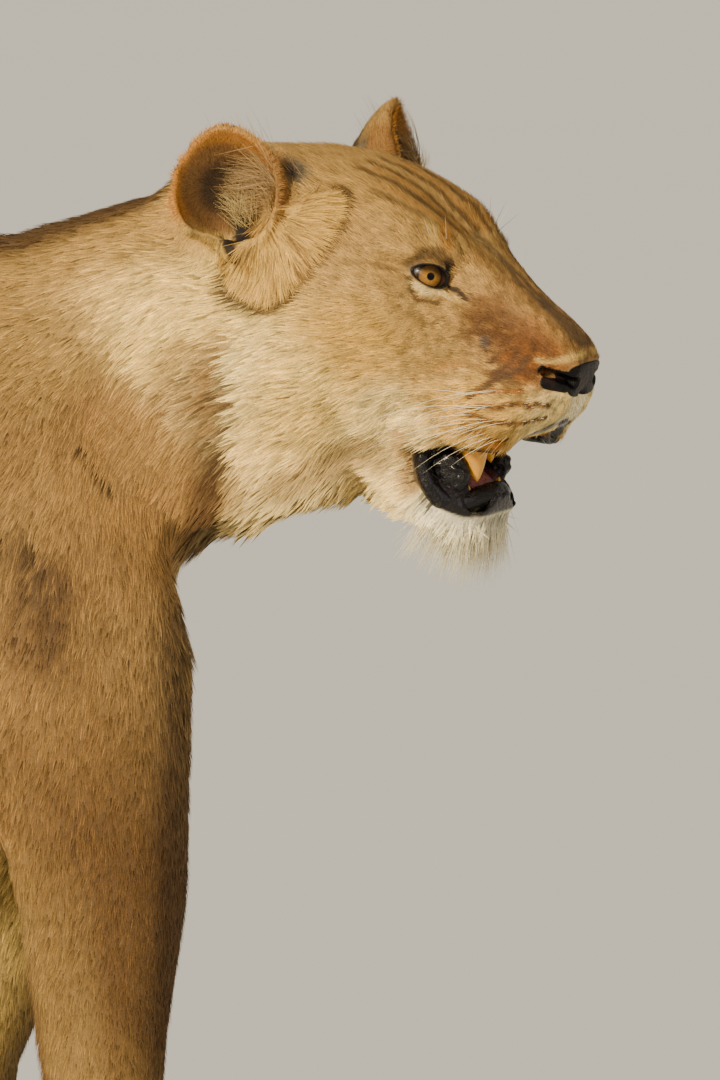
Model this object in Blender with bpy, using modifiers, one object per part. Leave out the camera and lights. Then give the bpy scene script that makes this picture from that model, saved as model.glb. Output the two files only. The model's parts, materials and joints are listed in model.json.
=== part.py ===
"""Life-size lioness, standing, with her head turned to her right and her mouth a little open.

Metres, +Z up. She faces +X and her left side is +Y. The origin is on the floor under the middle of her
bounding box. The body is modelled whole from lofts, fused, smoothed and honed, then parted with thin cuts.
"""

import math

import bpy
import bmesh
import numpy as np
from mathutils import Euler, Matrix, Vector

# ---------------------------------------------------------------- driving dimensions
CUT_GAP = 0.0004            # clearance between neighbouring solids
VOXEL = 0.005               # cell size that fuses the lofts
BROAD_ROUNDS = 150          # how long the trunk, shoulders and hips are smoothed
BODY_TRIANGLES = 3950       # the fused body after it is thinned out
STRIDE_FRONT = -0.115       # the left forefoot stands this far behind the right one
STRIDE_HIND = 0.17          # the left hind foot stands this far ahead of the right one
HEAD_AT = Vector((0.208, -0.035, 0.936))    # midway between the ear canals
HEAD_PITCH, HEAD_YAW, HEAD_ROLL = (math.radians(a) for a in (20.0, -27.0, 4.0))
EYE_RADIUS = 0.0175
EYE_AT = Vector((0.145, 0.052, 0.0105))      # middle of the opening, in head axes: forward, left, up
EYE_LOOK = Vector((0.68, 0.72, 0.12))
EYE_SHOWS = 0.0055          # how far the eyeball stands out of its socket
EAR_SIZE = (0.044, 0.047)   # half width and half height of the rim
EAR_WALL = 0.0055
# Each ear: side, middle of the rim, way it faces, way its tip points, middle of the canal. The right ear is
# turned outward and the left one forward.
EARS = {
    "ear_right": (-1, (-0.008, -0.113, 0.030), (0.40, -0.87, 0.25), (-0.25, -0.30, 0.92), (0.004, -0.062, 0.0)),
    "ear_left": (1, (0.040, 0.100, 0.045), (0.85, 0.30, 0.38), (-0.34, 0.15, 0.92), (0.004, 0.068, 0.012)),
}
NOSE_AT, NOSE_SIZE = Vector((0.268, 0.0, -0.022)), Vector((0.018, 0.027, 0.018))

COLOURS = {
    "coat": ((0.52, 0.36, 0.20), 0.85),
    "tail tuft": ((0.12, 0.08, 0.05), 0.85),
    "nose leather": ((0.06, 0.04, 0.035), 0.45),
    "eye": ((0.55, 0.36, 0.10), 0.10),
    "tongue": ((0.62, 0.30, 0.30), 0.50),
}

# Each row of these tables is one station of a loft. The trunk: place along X, top line, height of the
# greatest width, bottom line, half width.
TRUNK = (
    (-1.015, 0.760, 0.690, 0.630, 0.025),
    (-0.985, 0.815, 0.690, 0.580, 0.075),
    (-0.930, 0.862, 0.700, 0.550, 0.118),
    (-0.820, 0.893, 0.700, 0.540, 0.132),
    (-0.640, 0.888, 0.690, 0.535, 0.124),
    (-0.460, 0.878, 0.670, 0.500, 0.148),
    (-0.280, 0.880, 0.660, 0.468, 0.160),
    (-0.120, 0.905, 0.660, 0.452, 0.154),
    (-0.030, 0.922, 0.660, 0.455, 0.142),
    (0.050, 0.900, 0.660, 0.480, 0.124),
    (0.100, 0.850, 0.660, 0.530, 0.092),
    (0.124, 0.760, 0.655, 0.580, 0.045),
)
# The neck: the same columns, and the sideways place of its middle.
NECK = (
    (-0.140, 0.890, 0.720, 0.540, 0.100, 0.000),
    (-0.010, 0.921, 0.745, 0.580, 0.116, 0.000),
    (0.060, 0.942, 0.770, 0.632, 0.118, -0.006),
    (0.115, 0.958, 0.790, 0.662, 0.114, -0.018),
    (0.165, 0.974, 0.805, 0.692, 0.109, -0.032),
    (0.215, 0.980, 0.815, 0.710, 0.100, -0.048),
    (0.260, 0.955, 0.825, 0.740, 0.075, -0.062),
)
# Skull and muzzle in head axes. Each row is a place ahead of the ears and half a section there, as (outward,
# up) points from the top line down to the bottom line.
HEAD = (
    (-0.085, (0, 0.024), (0.030, 0.021), (0.052, 0.008), (0.066, -0.015), (0.070, -0.045), (0.062, -0.090),
     (0.040, -0.125), (0, -0.140)),
    (-0.040, (0, 0.045), (0.035, 0.043), (0.064, 0.027), (0.085, 0.000), (0.092, -0.040), (0.084, -0.100),
     (0.055, -0.145), (0, -0.165)),
    (0.010, (0, 0.059), (0.038, 0.056), (0.070, 0.041), (0.092, 0.010), (0.103, -0.038), (0.094, -0.105),
     (0.062, -0.150), (0, -0.170)),
    (0.060, (0, 0.065), (0.038, 0.063), (0.068, 0.049), (0.091, 0.016), (0.106, -0.034), (0.097, -0.102),
     (0.064, -0.148), (0, -0.166)),
    (0.100, (0, 0.061), (0.035, 0.060), (0.061, 0.050), (0.082, 0.018), (0.101, -0.030), (0.091, -0.098),
     (0.060, -0.144), (0, -0.160)),
    (0.130, (0, 0.049), (0.030, 0.051), (0.053, 0.044), (0.070, 0.018), (0.091, -0.032), (0.081, -0.092),
     (0.055, -0.140), (0, -0.156)),
    (0.152, (0, 0.040), (0.023, 0.042), (0.042, 0.034), (0.058, 0.010), (0.078, -0.036), (0.071, -0.088),
     (0.050, -0.134), (0, -0.152)),
    (0.176, (0, 0.031), (0.019, 0.032), (0.033, 0.022), (0.046, -0.002), (0.065, -0.040), (0.065, -0.084),
     (0.050, -0.122), (0, -0.132)),
    (0.198, (0, 0.021), (0.018, 0.021), (0.029, 0.011), (0.039, -0.010), (0.058, -0.044), (0.063, -0.077),
     (0.049, -0.102), (0, -0.107)),
    (0.225, (0, 0.011), (0.018, 0.011), (0.028, 0.002), (0.037, -0.015), (0.055, -0.046), (0.060, -0.072),
     (0.045, -0.090), (0, -0.094)),
    (0.246, (0, 0.003), (0.017, 0.003), (0.026, -0.005), (0.034, -0.019), (0.048, -0.046), (0.050, -0.065),
     (0.036, -0.078), (0, -0.081)),
    (0.260, (0, -0.004), (0.015, -0.005), (0.023, -0.010), (0.027, -0.022), (0.033, -0.042), (0.034, -0.055),
     (0.023, -0.064), (0, -0.066)),
    (0.268, (0, -0.011), (0.011, -0.012), (0.017, -0.016), (0.019, -0.024), (0.020, -0.038), (0.019, -0.047),
     (0.013, -0.053), (0, -0.054)),
)
# The lower jaw in the same axes, already dropped open: forward, top, height of the greatest width, bottom,
# half width, and how much the section narrows towards its top and its bottom.
JAW = (
    (0.060, -0.100, -0.130, -0.160, 0.060, 0.05, 0.30),
    (0.110, -0.104, -0.132, -0.164, 0.060, 0.05, 0.32),
    (0.150, -0.108, -0.136, -0.168, 0.055, 0.02, 0.30),
    (0.180, -0.115, -0.144, -0.178, 0.050, 0.00, 0.28),
    (0.203, -0.122, -0.150, -0.187, 0.047, 0.00, 0.26),
    (0.220, -0.127, -0.152, -0.189, 0.041, 0.00, 0.22),
    (0.233, -0.132, -0.152, -0.176, 0.028, 0.00, 0.10),
)
# The hollow of the mouth, between the lips.
MOUTH = (
    (0.120, -0.104, -0.113, -0.122, 0.012, 0.00, 0.00),
    (0.145, -0.094, -0.114, -0.134, 0.027, 0.05, 0.10),
    (0.180, -0.082, -0.114, -0.144, 0.033, 0.10, 0.15),
    (0.205, -0.077, -0.110, -0.146, 0.031, 0.10, 0.15),
    (0.222, -0.074, -0.105, -0.142, 0.024, 0.10, 0.10),
    (0.236, -0.074, -0.098, -0.126, 0.014, 0.05, 0.05),
)
TONGUE = (
    (0.150, -0.118, -0.132, -0.148, 0.016, 0.00, 0.00),
    (0.172, -0.119, -0.135, -0.153, 0.022, 0.00, 0.00),
    (0.198, -0.124, -0.138, -0.156, 0.022, 0.00, 0.00),
    (0.220, -0.131, -0.140, -0.154, 0.014, 0.00, 0.00),
)
# Teeth: root, tip, radius at the gum. All but none stand on both sides.
UPPER_TEETH = (
    ((0.214, 0.031, -0.084), (0.225, 0.028, -0.120), 0.0100),
    ((0.234, 0.016, -0.072), (0.236, 0.015, -0.089), 0.0042),
    ((0.239, 0.0085, -0.072), (0.241, 0.008, -0.087), 0.0038),
)
LOWER_TEETH = (
    ((0.217, 0.020, -0.154), (0.225, 0.023, -0.122), 0.0065),
)
# Legs, from the top down: height, front line, back line, sideways place of the middle, half thickness.
FORELEG = (
    (0.890, -0.010, -0.090, 0.050, 0.032),
    (0.835, 0.045, -0.125, 0.084, 0.045),
    (0.740, 0.103, -0.135, 0.102, 0.053),
    (0.640, 0.128, -0.115, 0.114, 0.060),
    (0.560, 0.130, -0.075, 0.120, 0.060),
    (0.480, 0.128, -0.018, 0.120, 0.055),
    (0.440, 0.126, -0.003, 0.118, 0.051),
    (0.400, 0.122, 0.004, 0.117, 0.047),
    (0.343, 0.115, 0.011, 0.115, 0.043),
    (0.283, 0.110, 0.024, 0.114, 0.041),
    (0.225, 0.107, 0.028, 0.113, 0.040),
    (0.170, 0.110, 0.024, 0.112, 0.042),
    (0.120, 0.114, 0.028, 0.112, 0.043),
    (0.075, 0.124, 0.028, 0.113, 0.047),
    (0.040, 0.130, 0.030, 0.114, 0.048),
)
HINDLEG = (
    (0.840, -0.790, -0.930, 0.066, 0.040),
    (0.770, -0.735, -0.980, 0.088, 0.055),
    (0.670, -0.700, -1.008, 0.104, 0.064),
    (0.570, -0.690, -0.998, 0.113, 0.064),
    (0.495, -0.697, -0.968, 0.117, 0.057),
    (0.430, -0.733, -0.960, 0.117, 0.049),
    (0.365, -0.797, -0.975, 0.115, 0.042),
    (0.305, -0.868, -1.006, 0.113, 0.038),
    (0.262, -0.912, -1.028, 0.112, 0.037),
    (0.215, -0.922, -1.016, 0.111, 0.037),
    (0.150, -0.906, -0.992, 0.110, 0.036),
    (0.090, -0.890, -0.982, 0.110, 0.040),
    (0.045, -0.880, -0.980, 0.110, 0.043),
)
TAIL = (
    (-0.930, 0.000, 0.815), (-1.020, 0.000, 0.785), (-1.078, -0.005, 0.690), (-1.108, -0.012, 0.550),
    (-1.122, -0.020, 0.410), (-1.158, -0.030, 0.300), (-1.228, -0.038, 0.235), (-1.320, -0.045, 0.222),
    (-1.400, -0.050, 0.240),
)
# Thickness of the tail by the share of its length: it swells again in the tuft.
TAIL_RADII = (
    (0.00, 0.036), (0.14, 0.027), (0.40, 0.020), (0.80, 0.015), (0.86, 0.018), (0.92, 0.030), (0.97, 0.027),
    (1.00, 0.010),
)
# Strokes that press a form in or raise it, on both sides: place, reach, lift.
HEAD_STROKES = (
    ("eye socket", (0.150, 0.058, 0.022), 0.0190, -0.0080),
    ("inner corner", (0.172, 0.040, 0.014), 0.0140, -0.0045),
    ("brow", (0.140, 0.040, 0.054), 0.0160, 0.0040),
    ("cheekbone", (0.108, 0.096, -0.018), 0.0300, 0.0040),
    ("temple", (0.070, 0.080, 0.045), 0.0280, -0.0040),
    ("whisker pad", (0.232, 0.052, -0.064), 0.0220, 0.0050),
    ("pad to cheek", (0.188, 0.060, -0.050), 0.0200, -0.0040),
    ("bridge side", (0.210, 0.033, 0.000), 0.0160, -0.0030),
    ("jowl", (0.060, 0.088, -0.120), 0.0350, 0.0030),
    ("philtrum", (0.270, 0.000, -0.054), 0.0090, -0.0030),
)
BODY_STROKES = (
    ("shoulder blade", (-0.040, 0.125, 0.800), 0.070, 0.008),
    ("hollow ahead of the shoulder", (0.075, 0.120, 0.800), 0.045, -0.010),
    ("upper arm", (-0.030, 0.165, 0.620), 0.070, 0.008),
    ("hollow behind the elbow", (-0.190, 0.150, 0.570), 0.060, -0.008),
    ("flank", (-0.620, 0.120, 0.650), 0.085, -0.018),
    ("hip bone", (-0.790, 0.100, 0.860), 0.050, 0.008),
    ("thigh", (-0.860, 0.165, 0.650), 0.090, 0.010),
    ("hamstring groove", (-0.965, 0.150, 0.560), 0.040, -0.006),
)


# ---------------------------------------------------------------- small tools
def clear_scene():
    for obj in list(bpy.data.objects):
        bpy.data.objects.remove(obj)


def material(name):
    colour, roughness = COLOURS[name]
    made = bpy.data.materials.get(name)
    if made is None:
        made = bpy.data.materials.new(name)
        made.use_nodes = True
        shader = made.node_tree.nodes["Principled BSDF"]
        shader.inputs["Base Color"].default_value = (*colour, 1.0)
        shader.inputs["Roughness"].default_value = roughness
        shader.inputs["Metallic"].default_value = 0.0
    return made


def new_object(name, mesh, look="coat"):
    obj = bpy.data.objects.new(name, mesh)
    LIONESS.objects.link(obj)
    return dress(obj, look)


def dress(obj, look):
    obj.data.materials.clear()
    obj.data.materials.append(material(look))
    return obj


def evaluated_copy(obj):
    bpy.context.view_layer.update()
    graph = bpy.context.evaluated_depsgraph_get()
    return bpy.data.meshes.new_from_object(obj.evaluated_get(graph))


def bake(obj):
    """Replaces the object's mesh by what its modifiers make of it."""
    mesh = evaluated_copy(obj)
    obj.modifiers.clear()
    obj.data = mesh
    return obj


def remove(*objects):
    for obj in objects:
        bpy.data.objects.remove(obj)


def glide(stations, count):
    """The rows of a table as a smooth run of count rows, through every station."""
    rows = np.array(stations, float)
    steps = np.arange(len(rows), dtype=float)
    slopes = np.gradient(rows, axis=0)
    at = np.linspace(0, len(rows) - 1, count)
    low = np.minimum(at.astype(int), len(rows) - 2)
    t = (at - steps[low])[:, None]
    a, b, ma, mb = rows[low], rows[low + 1], slopes[low], slopes[low + 1]
    t2, t3 = t * t, t * t * t
    return a * (2 * t3 - 3 * t2 + 1) + ma * (t3 - 2 * t2 + t) + b * (3 * t2 - 2 * t3) + mb * (t3 - t2)


def loft(name, rings, look="coat"):
    """A closed skin through rings that all hold the same number of points."""
    mesh = bpy.data.meshes.new(name)
    shape = bmesh.new()
    hoops = [[shape.verts.new(point) for point in ring] for ring in rings]
    for first, second in zip(hoops, hoops[1:]):
        for i in range(len(first)):
            j = (i + 1) % len(first)
            shape.faces.new((first[i], first[j], second[j], second[i]))
    shape.faces.new(hoops[0][::-1])
    shape.faces.new(hoops[-1])
    bmesh.ops.recalc_face_normals(shape, faces=shape.faces)
    shape.to_mesh(mesh)
    shape.free()
    return new_object(name, mesh, look)


def section(top, widest, bottom, half_width, narrow_up, narrow_down, sides):
    """(sideways, height) points of one upright section, round but with its own top and bottom half."""
    angle = np.arange(sides) * 2 * math.pi / sides
    across, rise = np.cos(angle), np.sin(angle)
    narrow = np.where(rise > 0, narrow_up, narrow_down)
    height = widest + np.where(rise > 0, (top - widest) * rise, (widest - bottom) * rise)
    return half_width * across * (1 - narrow * rise**2), height


def lengthwise(name, stations, count, sides=40, look="coat"):
    """A loft whose sections stand across X. A sixth column alone is the sideways place of their middle."""
    rings = []
    for row in glide(stations, count):
        middle = row[5] if len(row) == 6 else 0.0
        narrowing = row[5:7] if len(row) == 7 else (0.0, 0.0)
        y, z = section(*row[1:5], *narrowing, sides)
        rings.append(np.column_stack([np.full(sides, row[0]), y + middle, z]))
    return loft(name, rings, look)


def moulded(name, stations, count, sides=64):
    """A loft whose stations each hold half a section as points, mirrored here and rounded off."""
    rows = []
    for x, *half in stations:
        half = np.array(half, float)
        mirrored = half[-2:0:-1] * (-1, 1)
        ring = np.vstack([half, mirrored])
        wrapped = np.vstack([ring[-3:], ring, ring[:4]])
        steps = len(wrapped) - 1
        fine = glide(wrapped, steps * 12 + 1)[36:36 + 12 * len(ring)]
        picks = np.linspace(0, len(fine), sides, endpoint=False).astype(int)
        rows.append(np.concatenate([[x], fine[picks].ravel()]))
    rings = []
    for row in glide(rows, count):
        flat = row[1:].reshape(-1, 2)
        rings.append(np.column_stack([np.full(sides, row[0]), flat]))
    return loft(name, rings)


def upright(name, stations, side, stride, knee, count=44, sides=28):
    """A leg: sections that lie across Z, swung along X by stride below the height of the knee."""
    rings = []
    angle = np.arange(sides) * 2 * math.pi / sides
    for z, front, back, y_middle, half in glide(stations, count):
        swing = stride * np.clip((knee - z) / 0.42, 0, 1) ** 1.3
        x = (front + back) / 2 + (front - back) / 2 * np.cos(angle) + swing
        y = side * (y_middle + half * np.sin(angle))
        rings.append(np.column_stack([x, y, np.full(sides, z)]))
    return loft(name, rings)


def tube(name, points, radius_of, count=60, sides=20):
    """A round tube along a smooth line through points, its radius given by radius_of(0 to 1)."""
    line = glide(points, count)
    ahead = np.gradient(line, axis=0)
    rings = []
    for k, (place, along) in enumerate(zip(line, ahead)):
        turn = Vector(along).to_track_quat("Z", "Y").to_matrix()
        radius = radius_of(k / (count - 1))
        hoop = [
            Vector(place) + turn @ Vector((math.cos(a) * radius, math.sin(a) * radius, 0))
            for a in np.arange(sides) * 2 * math.pi / sides
        ]
        rings.append(hoop)
    return loft(name, rings)


def ball(name, centre, radii, segments=24, look="coat"):
    mesh = bpy.data.meshes.new(name)
    shape = bmesh.new()
    bmesh.ops.create_uvsphere(shape, u_segments=segments, v_segments=segments // 2, radius=1.0)
    place = Matrix.LocRotScale(Vector(centre), None, Vector(radii))
    bmesh.ops.transform(shape, matrix=place, verts=shape.verts)
    shape.to_mesh(mesh)
    shape.free()
    return new_object(name, mesh, look)


def boolean(obj, other, operation):
    cut = obj.modifiers.new(operation.title(), "BOOLEAN")
    cut.operation = operation
    cut.object = other
    cut.solver = "EXACT"
    return bake(obj)


def join(name, objects):
    shape = bmesh.new()
    for obj in objects:
        mesh = obj.data.copy()
        mesh.transform(obj.matrix_world)
        shape.from_mesh(mesh)
    mesh = bpy.data.meshes.new(name)
    shape.to_mesh(mesh)
    shape.free()
    remove(*objects)
    return new_object(name, mesh)


def head_matrix():
    """Carries head axes (forward, left, up) into the world."""
    turn = Euler((HEAD_ROLL, HEAD_PITCH, HEAD_YAW), "XYZ").to_matrix().to_4x4()
    return Matrix.Translation(HEAD_AT) @ turn


def hone(obj, strokes, frame=Matrix.Identity(4)):
    """Presses each stroke into the surface, or raises it, along the surface's own normals."""
    mesh = obj.data
    count = len(mesh.vertices)
    points, normals = np.empty(count * 3), np.empty(count * 3)
    mesh.vertices.foreach_get("co", points)
    mesh.vertices.foreach_get("normal", normals)
    points, normals = points.reshape(-1, 3), normals.reshape(-1, 3)
    lift = np.zeros(count)
    for _, place, reach, height in strokes:
        for side in (1, -1) if place[1] else (1,):
            centre = np.array(frame @ Vector((place[0], place[1] * side, place[2])))
            lift += height * np.exp(-((points - centre) ** 2).sum(1) / reach**2)
    mesh.vertices.foreach_set("co", (points + normals * lift[:, None]).ravel())
    mesh.update()


# ---------------------------------------------------------------- the forms
def paw(name, centre, side, length, width, height):
    """A foot: a pad, the back of the foot and four toes side by side."""
    x, y, _ = centre
    pieces = [
        ball(name + "_heel", (x - length * 0.20, y, height * 0.42), (length * 0.34, width * 0.4, height * 0.62)),
        ball(name + "_back", (x + length * 0.06, y, height * 0.76), (length * 0.36, width * 0.4, height * 0.58)),
    ]
    for toe, (across, ahead) in enumerate(((-0.36, 0.12), (-0.13, 0.25), (0.13, 0.25), (0.36, 0.12))):
        spot = (x + length * ahead, y + width * across * side, height * 0.36)
        pieces.append(ball(f"{name}_toe{toe}", spot, (length * 0.25, width * 0.165, height * 0.52)))
    return pieces


def limbs():
    pieces = []
    for side, name in ((-1, "right"), (1, "left")):
        front = STRIDE_FRONT if side > 0 else 0.0
        hind = STRIDE_HIND if side > 0 else 0.0
        pieces.append(upright("foreleg_" + name, FORELEG, side, front, 0.70))
        pieces.append(upright("hindleg_" + name, HINDLEG, side, hind, 0.62))
        pieces += paw("forepaw_" + name, (0.098 + front, 0.114 * side, 0), side, 0.156, 0.118, 0.068)
        pieces += paw("hindpaw_" + name, (-0.905 + hind, 0.110 * side, 0), side, 0.142, 0.102, 0.060)
    return pieces


def skull_and_jaw():
    frame = head_matrix()
    pieces = [moulded("skull", HEAD, 70), lengthwise("jaw", JAW, 40)]
    for piece in pieces:
        piece.data.transform(frame)
    return pieces


def tail_radius(share):
    return np.interp(share, *zip(*TAIL_RADII))


def broad_share(points):
    """How far each place lets the smoothing run: wholly over trunk and neck, hardly on face and feet."""
    into_head = np.array(head_matrix().inverted())
    forward = points @ into_head[0, :3] + into_head[0, 3]
    low = np.clip((points[:, 2] - 0.40) / 0.16, 0, 1)
    behind_ears = np.clip((0.050 - forward) / 0.080, 0, 1)
    return low * behind_ears


def points_of(obj):
    points = np.empty(len(obj.data.vertices) * 3)
    obj.data.vertices.foreach_get("co", points)
    return points.reshape(-1, 3)


def weigh(obj, shares):
    group = obj.vertex_groups.new(name="share")
    for index, share in enumerate(shares):
        group.add([index], share, "REPLACE")
    return group.name


def smooth(obj, rounds, share_of=None):
    """Relaxes the surface, wholly or by the share that share_of gives each place."""
    relax = obj.modifiers.new("Smooth", "SMOOTH")
    relax.factor = 0.5
    relax.iterations = rounds
    if share_of:
        relax.vertex_group = weigh(obj, share_of(points_of(obj)))
    bake(obj)
    obj.vertex_groups.clear()
    return obj


def thin_out(obj, triangles):
    """Thins the mesh to about this many triangles, more gently on the head."""
    into_head = np.array(head_matrix().inverted())
    points = points_of(obj)
    forward = points @ into_head[0, :3] + into_head[0, 3]
    on_head = np.clip((forward - 0.02) / 0.08, 0, 1) * (points[:, 2] > 0.68)
    fewer = obj.modifiers.new("Thin", "DECIMATE")
    fewer.use_collapse_triangulate = True
    fewer.vertex_group = weigh(obj, 1 - 0.15 * on_head)
    fewer.vertex_group_factor = 1.0
    count = sum(len(face.vertices) - 2 for face in obj.data.polygons)
    fewer.ratio = triangles / count
    bake(obj)
    obj.vertex_groups.clear()
    return obj


def fused_body():
    """Trunk, neck, head, legs and tail as one closed, smooth body."""
    pieces = [
        lengthwise("trunk", TRUNK, 70),
        lengthwise("neck", NECK, 40),
        tube("tail", TAIL, tail_radius),
        *limbs(),
        *skull_and_jaw(),
    ]
    body = join("body", pieces)
    fuse = body.modifiers.new("Fuse", "REMESH")
    fuse.mode = "VOXEL"
    fuse.voxel_size = VOXEL
    bake(body)
    smooth(body, 3)
    smooth(body, BROAD_ROUNDS, broad_share)
    hone(body, BODY_STROKES)
    hone(body, HEAD_STROKES, head_matrix())
    return smooth(body, 2)


def box(name, low, high, frame=Matrix.Identity(4), grow=0.0):
    """A block between two corners of a frame, grown on every side."""
    low, high = Vector(low) - Vector((grow,) * 3), Vector(high) + Vector((grow,) * 3)
    mesh = bpy.data.meshes.new(name)
    shape = bmesh.new()
    bmesh.ops.create_cube(shape, size=1.0)
    place = frame @ Matrix.LocRotScale((low + high) / 2, None, high - low)
    bmesh.ops.transform(shape, matrix=place, verts=shape.verts)
    shape.to_mesh(mesh)
    shape.free()
    return new_object(name, mesh)


def carve(obj, tool):
    """Takes the tool's volume away and throws the tool away."""
    boolean(obj, tool, "DIFFERENCE")
    remove(tool)


def part_off(body, name, low, high, frame=Matrix.Identity(4)):
    """Makes a node of what lies in a block, and leaves the rest a thin gap behind."""
    piece = new_object(name, body.data.copy())
    block = box("block", low, high, frame)
    boolean(piece, block, "INTERSECT")
    remove(block)
    carve(body, box("block", low, high, frame, CUT_GAP))
    return dress(piece, "tail tuft" if name == "tail_tuft" else "coat")


def tooth(name, root, tip, radius, side):
    """A blunt cone from the gum to the tip, with a gentle curve."""
    root, tip = (Vector((p[0], p[1] * side, p[2])) for p in (root, tip))
    middle = root.lerp(tip, 0.5) + Vector((radius * 0.25, 0, 0))
    taper = ((0.0, 1.0), (0.45, 0.92), (0.8, 0.55), (1.0, 0.16))
    return tube(name, (root, middle, tip), lambda share: radius * np.interp(share, *zip(*taper)), 5, 6)


def set_teeth(node, teeth):
    frame = head_matrix()
    for root, tip, radius in teeth:
        for side in (1, -1):
            piece = tooth("tooth", root, tip, radius, side)
            piece.data.transform(frame)
            boolean(node, piece, "UNION")
            remove(piece)


def ear_rings(name, grow=0.0):
    """Rings of the outer skin of an ear, from the rim in to the canal, in head axes."""
    rim, facing, upward, canal = (Vector(numbers) for numbers in EARS[name][1:])
    facing.normalize()
    upward = (upward - facing * upward.dot(facing)).normalized()
    across = upward.cross(facing)
    swell = ((0.00, 0.97), (0.15, 1.00), (0.40, 0.94), (0.70, 0.70), (1.00, 0.42))
    rings = []
    for depth in (0.0, 0.15, 0.4, 0.7, 1.0):
        size = float(np.interp(depth, *zip(*swell)))
        centre = rim.lerp(canal, depth)
        ring = []
        for angle in np.arange(16) * 2 * math.pi / 16:
            tip = 1 + 0.10 * math.exp(-((angle - math.pi / 2) / 0.5) ** 2)
            flare = -0.010 * (1 - depth) * math.sin(angle) - 0.006 * (1 - depth) * abs(math.cos(angle))
            out = (EAR_SIZE[0] * size + grow) * math.cos(angle) * across
            rise = (EAR_SIZE[1] * size * tip + grow) * math.sin(angle) * upward
            ring.append(centre + out + rise + flare * facing)
        rings.append(ring)
    return rings


def ear(name, head):
    """A cup with a thin wall, sunk in a hole that fits it."""
    outer, inner, plug_rings = ear_rings(name), ear_rings(name, -EAR_WALL), ear_rings(name, 2 * CUT_GAP)
    frame = head_matrix()
    deeper = (middle_of(outer[-1]) - middle_of(outer[0])).normalized() * 0.001
    before = [point - deeper * 3 for point in plug_rings[0]]
    beyond = [point + deeper for point in plug_rings[-1]]
    plug = loft("plug", [before, *plug_rings, beyond])
    lining = [[point + (middle_of(ring) - point) * 0.02 for point in ring] for ring in inner[:-1]]
    cup = loft(name, outer[::-1] + lining)
    for piece in (plug, cup):
        piece.data.transform(frame)
    carve(head, plug)
    return cup


def middle_of(ring):
    return sum(ring, Vector()) / len(ring)


def eye(name, side, head):
    """An eyeball, and the socket that fits it."""
    frame = head_matrix()
    look = (frame.to_3x3() @ Vector((EYE_LOOK.x, EYE_LOOK.y * side, EYE_LOOK.z))).normalized()
    opening = frame @ Vector((EYE_AT.x, EYE_AT.y * side, EYE_AT.z))
    _, surface, _, _ = head.ray_cast(opening + look * 0.1, -look)
    centre = surface - look * (EYE_RADIUS - EYE_SHOWS)
    carve(head, ball("socket", centre, (EYE_RADIUS + CUT_GAP,) * 3, segments=14))
    return ball(name, centre, (EYE_RADIUS,) * 3, segments=14, look="eye")


def inset(head, name, centre, radii, look):
    """A node cut out of the head by an ellipsoid, with a thin gap round it."""
    frame = head_matrix()
    tools = []
    for label, grow in (("inner", 0.0), ("outer", CUT_GAP)):
        tools.append(ball(label, centre, radii + Vector((grow,) * 3), segments=14))
        tools[-1].data.transform(frame)
    piece = new_object(name, head.data.copy())
    boolean(piece, tools[0], "INTERSECT")
    remove(tools[0])
    carve(head, tools[1])
    return dress(piece, look)


def mouth_and_tongue(body):
    """Hollows the mouth and beds the tongue in its floor."""
    frame = head_matrix()
    hollow = lengthwise("hollow", MOUTH, 8, 14)
    tongue = lengthwise("tongue", TONGUE, 5, 12, "tongue")
    grown = [(x, top + CUT_GAP, wide, low - CUT_GAP, half + CUT_GAP, up, down)
             for x, top, wide, low, half, up, down in TONGUE]
    bed = lengthwise("bed", grown, 5, 12)
    for piece in (hollow, tongue, bed):
        piece.data.transform(frame)
    carve(body, hollow)
    carve(body, bed)


clear_scene()
LIONESS = bpy.data.collections.new("lioness")
bpy.context.scene.collection.children.link(LIONESS)


# Blocks that part the body into nodes, in the order they are taken: name, two corners. The head's and the
# jaw's have frames of their own.
HEAD_BLOCK = (0.0, -0.4, -0.40), (0.6, 0.4, 0.3)
JAW_BLOCK = (0.122, -0.2, -0.3), (0.40, 0.2, -0.1135)
NECK_BLOCK = (0.0, -0.4, -0.4), (0.7, 0.4, 0.6)
BLOCKS = (
    ("tail_tuft", (-1.60, -0.2, 0.10), (-1.245, 0.2, 0.40)),
    ("tail_end", (-1.26, -0.2, 0.10), (-1.048, 0.2, 0.400)),
    ("tail_middle", (-1.26, -0.2, 0.39), (-1.048, 0.2, 0.600)),
    ("tail_base", (-1.26, -0.2, 0.59), (-1.048, 0.2, 0.90)),
    ("forepaw_right", (-0.20, -0.30, -0.10), (0.25, -0.045, 0.105)),
    ("forepaw_left", (-0.30, 0.045, -0.10), (0.15, 0.30, 0.105)),
    ("forearm_right", (-0.20, -0.30, 0.10), (0.25, -0.050, 0.400)),
    ("forearm_left", (-0.30, 0.050, 0.10), (0.15, 0.30, 0.400)),
    ("upper_foreleg_right", (-0.17, -0.30, 0.39), (0.25, -0.062, 0.620)),
    ("upper_foreleg_left", (-0.22, 0.062, 0.39), (0.25, 0.30, 0.620)),
    ("hindpaw_right", (-1.20, -0.30, -0.10), (-0.70, -0.045, 0.095)),
    ("hindpaw_left", (-1.00, 0.045, -0.10), (-0.50, 0.30, 0.095)),
    ("lower_hindleg_right", (-1.20, -0.30, 0.09), (-0.70, -0.050, 0.400)),
    ("lower_hindleg_left", (-1.10, 0.050, 0.09), (-0.50, 0.30, 0.400)),
    ("thigh_right", (-1.20, -0.30, 0.39), (-0.675, -0.062, 0.640)),
    ("thigh_left", (-1.20, 0.062, 0.39), (-0.560, 0.30, 0.640)),
    ("hindquarters", (-1.30, -0.30, 0.30), (-0.700, 0.30, 1.10)),
    ("loin", (-0.80, -0.30, 0.30), (-0.420, 0.30, 1.10)),
)


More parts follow.
